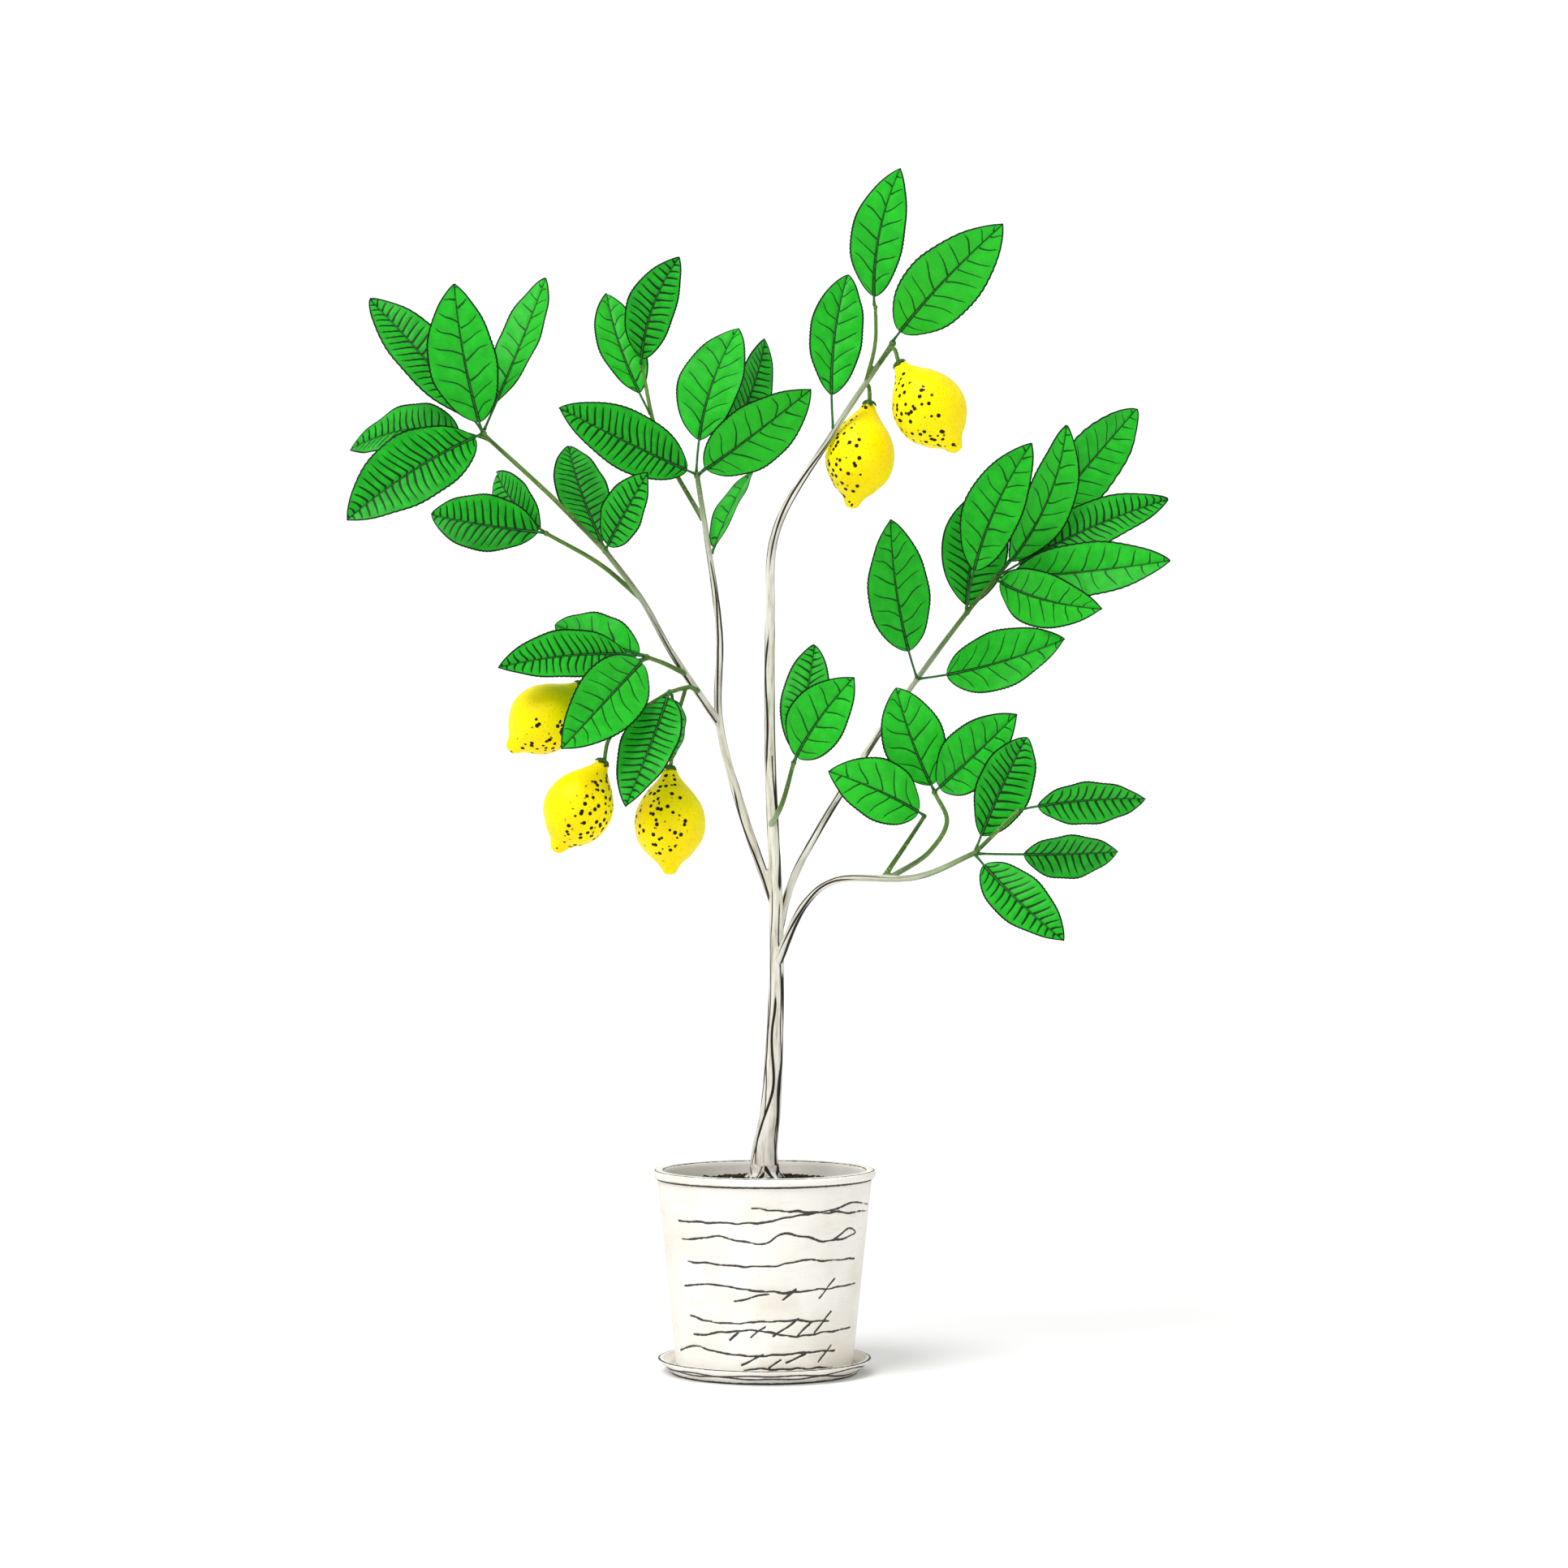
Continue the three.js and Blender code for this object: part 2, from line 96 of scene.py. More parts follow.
def finishPiece(bm, name, materials, replaced=(), smooth=True):
    mesh = meshFrom(bm, name)
    for material in materials:
        mesh.materials.append(material)
    if smooth:
        mesh.shade_smooth()
    piece = bpy.data.objects.new(name, mesh)
    scene.collection.objects.link(piece)
    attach(piece, "root")
    if replaced:
        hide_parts(*replaced)
    return piece


def mergedCopy(node):
    bm = bmesh.new()
    bm.from_mesh(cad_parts[node].data)
    bmesh.ops.remove_doubles(bm, verts=bm.verts, dist=1e-6)
    return bm


def surfaceTree(node):
    bm = mergedCopy(node)
    tree = BVHTree.FromBMesh(bm)
    bm.free()
    return tree


def smoothStep(low, high, value):
    t = min(1.0, max(0.0, (value - low) / (high - low)))
    return t * t * (3 - 2 * t)


# Even steps along a smooth line through points, which may carry a radius as a last number.
def smoothCourse(points, step):
    knots = [Vector(p) for p in points]
    knots = [2 * knots[0] - knots[1]] + knots + [2 * knots[-1] - knots[-2]]
    course = []
    for a, b, c, d in zip(knots, knots[1:], knots[2:], knots[3:]):
        count = max(1, round((c - b).length / step))
        ta, tb, tc = (max(0.01, (q - p).length) ** 0.5 for p, q in ((a, b), (b, c), (c, d)))
        for i in range(count):
            t = i / count * tb
            ab, bc, cd = a.lerp(b, (t + ta) / ta), b.lerp(c, t / tb), c.lerp(d, (t - tb) / tc)
            course.append(ab.lerp(bc, (t + ta) / (ta + tb)).lerp(bc.lerp(cd, t / (tb + tc)), t / tb))
    return course + [knots[-2]]


# A closed round tube through rings, each a centre and a radius.
def tube(rings, sides):
    bm = bmesh.new()
    ahead = (rings[1][0] - rings[0][0]).normalized()
    turn = ahead.to_track_quat("Z", "Y")
    circle = bmesh.ops.create_circle(bm, segments=sides, radius=1.0, cap_ends=True)["verts"]
    for vert in circle:
        vert.co = rings[0][0] + turn @ vert.co * rings[0][1]
    edges = bm.edges[:]
    for i in range(1, len(rings)):
        (lastCentre, lastRadius), (centre, radius) = rings[i - 1], rings[i]
        nextAhead = (rings[min(i + 1, len(rings) - 1)][0] - lastCentre).normalized()
        swing = ahead.rotation_difference(nextAhead)
        made = bmesh.ops.extrude_edge_only(bm, edges=edges)["geom"]
        verts = {g for g in made if isinstance(g, bmesh.types.BMVert)}
        edges = [g for g in made if isinstance(g, bmesh.types.BMEdge) and verts.issuperset(g.verts)]
        for vert in verts:
            vert.co = centre + swing @ (vert.co - lastCentre) * (radius / lastRadius)
        ahead = nextAhead
    bmesh.ops.contextual_create(bm, geom=edges)
    bmesh.ops.recalc_face_normals(bm, faces=bm.faces)
    return bm


# A profile of (radius, height) spun round the Z axis.
def turned(profile, sides):
    bm = bmesh.new()
    verts = [bm.verts.new((radius, 0, height)) for radius, height in profile]
    edges = [bm.edges.new(pair) for pair in zip(verts, verts[1:])]
    bmesh.ops.spin(bm, geom=verts + edges, cent=(0, 0, 0), axis=(0, 0, 1), angle=2 * math.pi,
                   steps=sides, use_merge=True)
    bmesh.ops.remove_doubles(bm, verts=bm.verts, dist=1e-6)
    bmesh.ops.recalc_face_normals(bm, faces=bm.faces)
    return bm


studio = {
    "cameraPlace": (0.0168, -3.6, 0.507), "halfWidth": 0.6762,  # metres seen either side, at the trunk
    "floorColour": "#f9f9f8", "floorSize": 60, "worldLight": 0.74, "worldSeen": 1.05,
    "sunLight": 2.0, "sunSpread": 32, "sunFrom": (-0.42, -0.5, 0.85),
}


def setStudio():
    camera = bpy.data.objects.new("studioCamera", bpy.data.cameras.new("studioCamera"))
    camera.location = studio["cameraPlace"]
    camera.rotation_euler = (math.radians(90), 0, 0)
    camera.data.lens = camera.data.sensor_width / 2 * -studio["cameraPlace"][1] / studio["halfWidth"]
    sun = bpy.data.objects.new("softSun", bpy.data.lights.new("softSun", "SUN"))
    sun.data.energy = studio["sunLight"]
    sun.data.angle = math.radians(studio["sunSpread"])
    sun.rotation_euler = Vector(studio["sunFrom"]).to_track_quat("Z", "Y").to_euler()
    world = bpy.data.worlds.new("whiteRoom")
    world.use_nodes = True
    seen = addNode(world.node_tree, "LightPath")
    level = addNode(world.node_tree, "MapRange", {0: seen, 3: studio["worldLight"], 4: studio["worldSeen"]})
    room = world.node_tree.nodes["Background"]
    room.inputs["Color"].default_value = (1, 1, 1, 1)
    world.node_tree.links.new(level, room.inputs["Strength"])
    bm = bmesh.new()
    bmesh.ops.create_grid(bm, x_segments=1, y_segments=1, size=studio["floorSize"])
    floor = bpy.data.objects.new("studioFloor", meshFrom(bm, "studioFloor"))
    paint, _, shader = newMaterial("mattWallPaint", Roughness=0.9)
    shader.inputs["Base Color"].default_value = linear(studio["floorColour"])
    floor.data.materials.append(paint)
    for thing in (camera, sun, floor):
        scene.collection.objects.link(thing)
    scene.camera = camera
    scene.world = world
    scene.view_settings.view_transform = "Standard"


setStudio()
print("studio ready")


# Middle lines in mm, each point with the limb's radius, at the places where the frame's limbs turn
limbs = {
    "stem": [
        (0, 0, 125, 9), (0, 0, 165, 14), (0, 0, 190, 11), (5, 0, 225, 9), (10, 0, 320, 7), (10, 0, 400, 6),
        (5, 10, 530, 5), (5, 10, 650, 4.5), (10, 0, 725, 4), (60, -15, 810, 2.8), (110, -20, 885, 2.1)],
    "leftLimb": [
        (10, 0, 400, 4.4), (-20, 20, 485, 4.2), (-40, 45, 565, 3.8), (-40, 60, 640, 3.4),
        (-60, 90, 780, 2.2)],
    "leftArm": [(-40, 45, 560, 3.4), (-80, 0, 620, 3), (-105, -25, 665, 2.6), (-135, -50, 705, 2.3)],
    "leftFanTwig": [(-135, -50, 705, 2.2), (-180, -80, 750, 2), (-235, -105, 800, 1.8)],
    "leftLowTwig": [(-105, -25, 665, 2.2), (-140, -10, 695, 2), (-190, 30, 725, 1.7)],
    "middleBackTwig": [(-55, 85, 740, 2.2), (-95, 110, 815, 1.9), (-110, 125, 880, 1.6)],
    "sprayTwig": [(-68, 13, 602, 2.2), (-85, -20, 610, 2), (-100, -55, 615, 1.8)],
    "sprayLowTwig": [(-58, 24, 588, 2.2), (-65, -20, 590, 2), (-80, -60, 585, 1.8)],
    "rightArm": [
        (10, 0, 370, 4.2), (25, 20, 425, 3.8), (90, 80, 535, 3), (135, 110, 600, 2.5), (180, 120, 660, 2.1),
        (205, 110, 690, 1.9)],
    "rightLowArm": [
        (10, 0, 350, 4.2), (35, -35, 405, 3.6), (60, -65, 425, 3.2), (130, -120, 430, 2.6),
        (175, -145, 450, 2.2)],
    "rightTipTwig": [(175, -145, 450, 2), (190, -150, 465, 1.8), (210, -160, 485, 1.6)],
    "hangingLeafTwig": [(100, -97, 428, 2.2), (115, -95, 450, 2), (135, -90, 480, 1.7)],
    "rightLowTwig": [(105, -101, 428, 2.4), (140, -70, 450, 2.1), (155, -60, 475, 2), (145, -45, 500, 1.8)],
    "innerTwig": [(5, 5, 470, 2.6), (15, -20, 490, 2.2), (25, -60, 525, 1.8)],
    "topTwig": [(87, -18, 851, 1.9), (95, -25, 885, 1.6), (95, -30, 915, 1.5)],
}
fruitStalks = {  # each runs on into its fruit's calyx
    "top_right": [(99, -20, 868, 1.9), (110, -30, 880, 1.8)],
    "top_left": [(87, -18, 851, 1.9), (90, -8, 848, 1.8)],
    "spray_left": [(-98, -52, 614, 1.8), (-130, -65, 605, 1.7)],
    "spray_middle": [(-80, -60, 585, 1.8), (-110, -85, 565, 1.7), (-130, -95, 545, 1.7)],
    "spray_right": [(-67, -28, 590, 1.8), (-75, -45, 560, 1.7)],
}
wood = {
    "voxel": 0.88, "smoothing": 7, "sides": 20, "ringStep": 4.0, "grainStep": 2.0, "stemCutHeight": 150,  # mm
    "twigRadius": 2.0, "barkRadius": 3.3,  # mm, between which green twig turns to grey bark
    "fissureLength": 60.0, "fissureWander": 0.45, "fissureDepth": 0.7, "fullFissureRadius": 5.0,
    # Fissures along a limb: degrees round from its back, half width in mm; those on the right side are wider,
    # painted shade there
    "fissures": [
        (165, 1.5), (-150, 0.7), (-115, 2.6), (-60, 1.0), (5, 1.3), (50, 0.8), (108, 1.4), (132, 0.7)],
    "rootCount": 5,
    "root": [(3, 172, 7), (17, 162, 5.4), (31, 146, 4), (44, 120, 2.8)],  # distance out, height and radius
    # Swollen nodes: limb, point along it, radius
    "nodes": [
        ("stem", 10, 3.4), ("leftLimb", 4, 3.4), ("leftArm", 3, 3.2), ("leftFanTwig", 2, 3.4),
        ("leftLowTwig", 2, 2.8), ("middleBackTwig", 2, 2.4), ("sprayTwig", 2, 3.0), ("sprayLowTwig", 2, 2.9),
        ("rightArm", 3, 3.3), ("rightArm", 4, 3.0), ("rightArm", 5, 3.6), ("rightLowArm", 4, 3.0),
        ("rightTipTwig", 2, 2.2), ("hangingLeafTwig", 2, 2.3), ("rightLowTwig", 3, 2.8),
        ("innerTwig", 2, 2.7), ("topTwig", 2, 2.2)],
}


def limbCourses():
    courses = list(limbs.values())
    for fruit, points in fruitStalks.items():
        low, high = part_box("calyx_" + fruit)
        calyxPlace = (Vector(low) + Vector(high)) / 2 / mm
        courses.append(points + [(*calyxPlace, points[-1][3])])
    for i in range(wood["rootCount"]):
        angle = (i + 0.25) / wood["rootCount"] * 2 * math.pi
        courses.append([(reach * math.cos(angle), reach * math.sin(angle), height, radius)
                        for reach, height, radius in wood["root"]])
    return courses


# Points along every limb: place, heading, the two ways across, distance and radius, in mm.
def grainSamples():
    samples = []
    for number, points in enumerate(limbCourses()):
        course = smoothCourse(points, wood["grainStep"])
        side = Vector((0, 1, 0))
        distance = number * 400.0  # so that no two limbs share a pattern
        for i, spot in enumerate(course):
            ahead = (course[min(i + 1, len(course) - 1)] - course[max(i - 1, 0)]).xyz.normalized()
            side = (side - ahead * side.dot(ahead)).normalized()
            distance += (spot - course[max(i - 1, 0)]).xyz.length
            samples.append((spot.xyz, ahead, side, ahead.cross(side), distance, spot.w))
    return samples


# Round limbs, roots and nodes, grown into one skin.
def growWood():
    bm = bmesh.new()
    for points in limbCourses():
        rings = [(spot.xyz * mm, (spot.w + 0.15) * mm) for spot in smoothCourse(points, wood["ringStep"])]
        mesh = meshFrom(tube(rings, wood["sides"]), "limb")
        bm.from_mesh(mesh)
        bpy.data.meshes.remove(mesh)
    for limb, at, radius in wood["nodes"]:
        place = Vector(limbs[limb][at][:3]) * mm
        bmesh.ops.create_icosphere(bm, subdivisions=2, radius=radius * mm, matrix=Matrix.Translation(place))
    form = bpy.data.objects.new("woodForm", meshFrom(bm, "woodForm"))
    scene.collection.objects.link(form)
    grown = form.modifiers.new("grown", "REMESH")
    grown.mode = "VOXEL"
    grown.voxel_size = wood["voxel"] * mm
    relaxed = form.modifiers.new("relaxed", "SMOOTH")
    relaxed.factor = 0.5
    relaxed.iterations = wood["smoothing"]
    skin = bpy.data.meshes.new_from_object(form.evaluated_get(bpy.context.evaluated_depsgraph_get()))
    bpy.data.objects.remove(form)
    bm = bmesh.new()
    bm.from_mesh(skin)
    bpy.data.meshes.remove(skin)
    cut = bmesh.ops.bisect_plane(bm, geom=bm.verts[:] + bm.edges[:] + bm.faces[:], clear_inner=True,
                                 plane_co=(0, 0, wood["stemCutHeight"] * mm), plane_no=(0, 0, 1))
    bmesh.ops.holes_fill(bm, edges=[g for g in cut["geom_cut"] if isinstance(g, bmesh.types.BMEdge)])
    return bm


# How deep in a fissure a point is, from 0 to 1. Each fissure wanders round its limb, and comes and goes.
def fissureAt(grain, radius):
    around = math.atan2(grain.y, grain.x)
    deepest = 0.0
    for number, (angle, width) in enumerate(wood["fissures"]):
        if number % 2 and radius < wood["fullFissureRadius"]:
            continue  # thin limbs have every other one
        run = grain.z / wood["fissureLength"]
        wander = noise.noise(Vector((run, number * 3.1, 0.5))) * 2 * wood["fissureWander"]
        away = (around - math.radians(angle) - wander + math.pi) % (2 * math.pi) - math.pi
        opened = smoothStep(-0.42, -0.1, noise.noise(Vector((run * 0.7, number * 5.3, 9.5))))
        width *= min(1.0, 0.35 + radius / 8) * (0.35 + 0.65 * opened)
        deepest = max(deepest, opened * math.exp(-(away * radius / width) ** 2))
    return deepest


def makeWood():
    bm = growWood()
    samples = grainSamples()
    tree = KDTree(len(samples))
    for i, sample in enumerate(samples):
        tree.insert(sample[0], i)
    tree.balance()
    bm.normal_update()
    grainLayer = bm.verts.layers.float_vector.new("grain")
    barkLayer = bm.verts.layers.float.new("barkShare")
    fissureLayer = bm.verts.layers.float.new("fissure")
    for vert in bm.verts:
        point = vert.co / mm
        near = min(tree.find_n(point, 6), key=lambda found: found[2] - samples[found[1]][5])[1]
        place, ahead, side, up, distance, radius = samples[near]
        offset = point - place
        grain = Vector((offset.dot(side), offset.dot(up), distance + offset.dot(ahead)))
        bark = smoothStep(wood["twigRadius"], wood["barkRadius"], radius)
        fissure = bark * fissureAt(grain, radius)
        fine = noise.noise(Vector((grain.x / 1.8, grain.y / 1.8, grain.z / 12)))
        vert[grainLayer] = grain * mm
        vert[barkLayer] = bark
        vert[fissureLayer] = fissure
        vert.co += vert.normal * (0.18 * fine * (0.3 + 0.7 * bark) - fissure * wood["fissureDepth"]) * mm
    finishPiece(bm, "trunkAndBranches", [citrusBark()], ["trunk_and_branches"])


def citrusBark():
    # Weathered citrus bark: silvery and matt with dark lengthwise fissures, made wider on the right side as
    # painted shade. Young twigs are smooth, green.
    material, add, shader = newMaterial("citrusBark", Roughness=0.8, Specular_IOR_Level=0.2)
    grain = add("Attribute", out=1, attribute_name="grain")
    bark = add("Attribute", out=2, attribute_name="barkShare")
    fissure = add("Attribute", out=2, attribute_name="fissure")
    lengthwise = add("Mapping", {"Vector": grain, "Scale": (1.0, 1.0, 0.08)})
    # Streaks about 2.6 mm apart
    streaks = add("TexNoise", {"Vector": lengthwise, "Scale": 380.0, "Detail": 6.0, "Roughness": 0.62})
    blotches = add("TexNoise", {"Vector": grain, "Scale": 45.0, "Detail": 3.0})
    lenticels = add("TexVoronoi", {"Vector": grain, "Scale": 240.0})  # pale breathing pores, 4 mm apart
    grey = add("ValToRGB", {0: streaks}, stops=[
        (0.28, "#8f897c"), (0.42, "#cfc9bc"), (0.56, "#e8e4da"), (0.74, "#f6f4ee")])
    lichen = add("MapRange", {0: blotches, 1: 0.5, 2: 0.72, 4: 0.4}, interpolation_type="SMOOTHSTEP")
    grey = add("Mix", {0: lichen, 6: grey, 7: "#bfbcac"}, out=2, data_type="RGBA")
    # painted shade: the dark fissures are widest on the right side of each limb
    darkFissuresAndShade = add("MapRange", {0: fissure, 1: 0.25, 2: 0.75}, interpolation_type="SMOOTHSTEP")
    grey = add("Mix", {0: darkFissuresAndShade, 6: grey, 7: "#1d1914"}, out=2, data_type="RGBA")
    green = add("ValToRGB", {0: streaks}, stops=[(0.3, "#2d4a1c"), (0.5, "#4f7530"), (0.72, "#7d9a4e")])
    pores = add("MapRange", {0: lenticels, 1: 0.2, 2: 0.1, 4: 0.7}, interpolation_type="SMOOTHSTEP")
    green = add("Mix", {0: pores, 6: green, 7: "#b5b58a"}, out=2, data_type="RGBA")
    colour = add("Mix", {0: bark, 6: green, 7: grey}, out=2, data_type="RGBA")
    feed(shader, colour, add("Bump", {"Height": streaks, "Distance": 0.5 * mm, "Strength": 0.7}))
    return material


makeWood()
print("wood grown")


leaf = {
    "acrossSteps": 30, "alongSteps": 66, "thickness": 0.42, "stalkSides": 10,
    "midribDepth": 0.9, "veinDepth": 0.4, "quilting": 0.5, "wave": 1.1, "fold": 0.2,  # mm, and rise per width
    "base": 0.7, "tip": 0.8,  # exponents that shape the blade's outline
    "fullWaveHalfWidth": 24, "mostCurl": 1.5, "teeth": 0.012,  # mm, mm, and a share of the half width
    # How each kind's upper face looks. The veins are about twice their real width, to show at arm's length,
    # and painted dark as painted shade in their sunk grooves.
    "sunlit": {"blade": "#20c026", "deep": "#18aa20", "light": "#33cc2d", "vein": "#04200a",
               "veinSpacing": 15.0, "veinSlant": 0.8, "veinWidth": 0.75, "veinShadeStrength": 0.85},
    # The shaded kind is a darker copy of the sunlit one: painted shade
    "shaded": {"blade": "#1fb425", "deep": "#129a1c", "light": "#27bd27", "vein": "#021806",
               "veinSpacing": 7.0, "veinSlant": 0.5, "veinWidth": 1.0, "veinShadeStrength": 0.92},
    # Leaves given a darker green and close dark veins, as painted shade
    "shadedLeaves": (
        "left_fan_1", "left_fan_4", "left_fan_5", "left_low_1", "left_low_2", "left_inner_1", "left_inner_2",
        "middle_1", "middle_4", "middle_back_2", "right_fan_2", "right_fan_5", "inner_1", "right_low_4",
        "right_tips_1", "right_tips_2", "right_tips_3", "spray_2", "spray_4", "spray_5"),
}


def bladeOutline(share):
    widest = leaf["base"] / (leaf["base"] + leaf["tip"])
    shape = [s ** leaf["base"] * (1 - s) ** leaf["tip"] for s in (share, widest)]
    return shape[0] / shape[1]


def leafUpper(kind):
    # Citrus leaf, upper face: waxed, evenly green, with its sunk veins painted dark as painted shade, and a
    # thin dark rim.
    material, add, shader = newMaterial(kind + "LeafFace", Roughness=0.42, Specular_IOR_Level=0.16, IOR=1.45)
    look = leaf[kind]
    inMm = add("Attribute", out=1, attribute_name="bladeMm")
    across, phase, edge = add("SeparateXYZ", {0: inMm}).node.outputs
    share = add("SeparateXYZ", {0: add("Attribute", out=1, attribute_name="bladeShare")}).node.outputs
    acrossShare, alongShare, tone = share
    place = add("TexCoord", out=3)
    mottle = add("TexNoise", {"Vector": place, "Scale": 90.0, "Detail": 6.0, "Roughness": 0.6})
    cells = add("TexVoronoi", {"Vector": place, "Scale": 850.0}, feature="DISTANCE_TO_EDGE")  # 1.2 mm
    ripple = add("Math", {0: phase, 1: look["veinSpacing"] / 2}, operation="PINGPONG")
    taper = add("MapRange", {0: acrossShare, 3: look["veinWidth"], 4: 0.2 * look["veinWidth"]})
    beside = add("Math", {0: ripple, 1: taper}, operation="SUBTRACT")
    sideVein = add("MapRange", {0: beside, 1: 0.0, 2: 0.5, 3: look["veinShadeStrength"], 4: 0.0},
                   interpolation_type="SMOOTHSTEP")
    reach = add("MapRange", {0: acrossShare, 1: 0.92, 2: 0.68}, interpolation_type="SMOOTHSTEP")
    sideVein = add("Math", {0: sideVein, 1: reach}, operation="MULTIPLY")
    ribWidth = add("MapRange", {0: alongShare, 3: 1.5, 4: 0.3})
    distance = add("Math", {0: across}, operation="ABSOLUTE")
    fromRib = add("Math", {0: distance, 1: ribWidth}, operation="SUBTRACT")
    midrib = add("MapRange", {0: fromRib, 1: -0.2, 2: 0.4, 3: 1.0, 4: 0.0}, interpolation_type="SMOOTHSTEP")
    rim = add("MapRange", {0: edge, 1: 1.1, 2: 1.9, 3: 1.0, 4: 0.0}, interpolation_type="SMOOTHSTEP")
    lines = add("Math", {0: add("Math", {0: sideVein, 1: midrib}, operation="MAXIMUM"), 1: rim},
                operation="MAXIMUM")
    patchy = add("MapRange", {0: mottle, 1: 0.35, 2: 0.68}, interpolation_type="SMOOTHSTEP")
    colour = add("Mix", {0: patchy, 6: look["deep"], 7: look["blade"]}, out=2, data_type="RGBA")
    young = add("MapRange", {0: tone, 4: 0.5})
    colour = add("Mix", {0: young, 6: colour, 7: look["light"]}, out=2, data_type="RGBA")
    net = add("MapRange", {0: cells, 1: 0.12, 2: 0.02, 4: 0.14}, interpolation_type="SMOOTHSTEP")
    lines = add("Math", {0: lines, 1: net}, operation="MAXIMUM")
    # painted shade: the sunk side veins, the midrib and the fine net are painted dark
    colour = add("Mix", {0: lines, 6: colour, 7: look["vein"]}, out=2, data_type="RGBA")
    grainy = add("Math", {0: cells, 1: 1.5, 2: mottle}, operation="MULTIPLY_ADD")
    feed(shader, colour, add("Bump", {"Height": grainy, "Distance": 0.2 * mm, "Strength": 0.45}))
    return material


def leafUnder():
    # Citrus leaf, under face: paler and matt, with raised pale veins.
    material, add, shader = newMaterial("leafUnderside", Roughness=0.6, Specular_IOR_Level=0.2)
    blade = add("SeparateXYZ", {0: add("Attribute", out=1, attribute_name="bladeMm")}).node.outputs
    mottle = add("TexNoise", {"Vector": add("TexCoord", out=3), "Scale": 150.0, "Detail": 5.0})
    ripple = add("Math", {0: blade[1], 1: leaf["sunlit"]["veinSpacing"] / 2}, operation="PINGPONG")
    vein = add("MapRange", {0: ripple, 1: 0.25, 2: 0.9, 3: 0.8, 4: 0.0}, interpolation_type="SMOOTHSTEP")
    fromRib = add("Math", {0: blade[0]}, operation="ABSOLUTE")
    midrib = add("MapRange", {0: fromRib, 1: 0.6, 2: 1.4, 3: 1.0, 4: 0.0}, interpolation_type="SMOOTHSTEP")
    lines = add("Math", {0: vein, 1: midrib}, operation="MAXIMUM")
    rim = add("MapRange", {0: blade[2], 1: 0.5, 2: 1.1, 3: 1.0, 4: 0.0}, interpolation_type="SMOOTHSTEP")
    colour = add("ValToRGB", {0: mottle}, stops=[(0.3, "#3f9a38"), (0.7, "#62b64f")])
    colour = add("Mix", {0: lines, 6: colour, 7: "#97c872"}, out=2, data_type="RGBA")
    colour = add("Mix", {0: rim, 6: colour, 7: "#14561b"}, out=2, data_type="RGBA")
    raised = add("Math", {0: mottle, 1: 0.4, 2: lines}, operation="MULTIPLY_ADD")
    feed(shader, colour, add("Bump", {"Height": raised, "Distance": 0.3 * mm, "Strength": 0.6}))
    return material


def leafStalkSkin():
    # Leaf stalk: young green stem, slightly waxy, flecked lengthwise.
    material, add, shader = newMaterial("leafStalkSkin", Roughness=0.5, Specular_IOR_Level=0.25)
    fleck = add("TexNoise", {"Vector": add("TexCoord", out=3), "Scale": 420.0, "Detail": 4.0})
    colour = add("ValToRGB", {0: fleck}, stops=[(0.3, "#123f16"), (0.7, "#2b7a28")])
    feed(shader, colour, add("Bump", {"Height": fleck, "Distance": 0.2 * mm, "Strength": 0.5}))
    return material


# Where a leaf's solid lies: its foot, its axes across, along and out of its face, and its sizes in metres.
def leafFrame(node, woodTree):
    bm = mergedCopy(node)
    points = [vert.co.copy() for vert in bm.verts]
    centre = sum(points, Vector()) / len(points)
    far = max(points, key=lambda p: (p - centre).length)
    near = max(points, key=lambda p: (p - far).length)
    foot, tip = sorted((far, near), key=lambda p: woodTree.find_nearest(p)[3])
    along = (tip - foot).normalized()
    spread = Matrix(((0, 0, 0), (0, 0, 0), (0, 0, 0)))
    for side in bm.faces:  # the blade's normal is the way that most of its faces look
        normal = side.normal - along * side.normal.dot(along)
        for row in range(3):
            spread[row] += normal * normal[row] * side.calc_area()
    bm.free()
    face = Vector((0.1, -1, 0.2))
    for _ in range(40):
        face = (spread @ face).normalized()
    face = (face - along * face.dot(along)).normalized()
    length = (tip - foot).length
    middle = [p - foot for p in points if 0.3 < (p - foot).dot(along) / length < 0.8]
    if sum(p.dot(face) for p in middle) < 0:
        face = -face
    across = along.cross(face)
    belt = [p.dot(across) for p in middle if 0.38 < p.dot(along) / length < 0.7]
    rings = []
    for level in sorted((p - foot).dot(along) for p in points):
        if not rings or level - rings[-1] > 0.6 * mm:
            rings.append(level)
    return {
        "foot": foot, "along": along, "face": face, "across": across, "length": length,
        "stalk": max(2 * mm, length - 9 * (rings[-1] - rings[-2])),
        "halfWidth": (max(belt) - min(belt)) / 2, "bow": (max(belt) + min(belt)) / 2,
        "arch": max(p.dot(face) for p in middle) - 0.5 * mm,
    }


# The place on a leaf at a distance from its foot, with its arch and its sideways bow.
def onLeaf(form, across, lift, distance):
    share = distance / form["length"]
    bend = 4 * share * (1 - share)
    across += form["bow"] * bend
    lift += (form["arch"] - 0.22 * form["halfWidth"]) * bend
    return form["foot"] + form["along"] * distance + form["across"] * across + form["face"] * lift


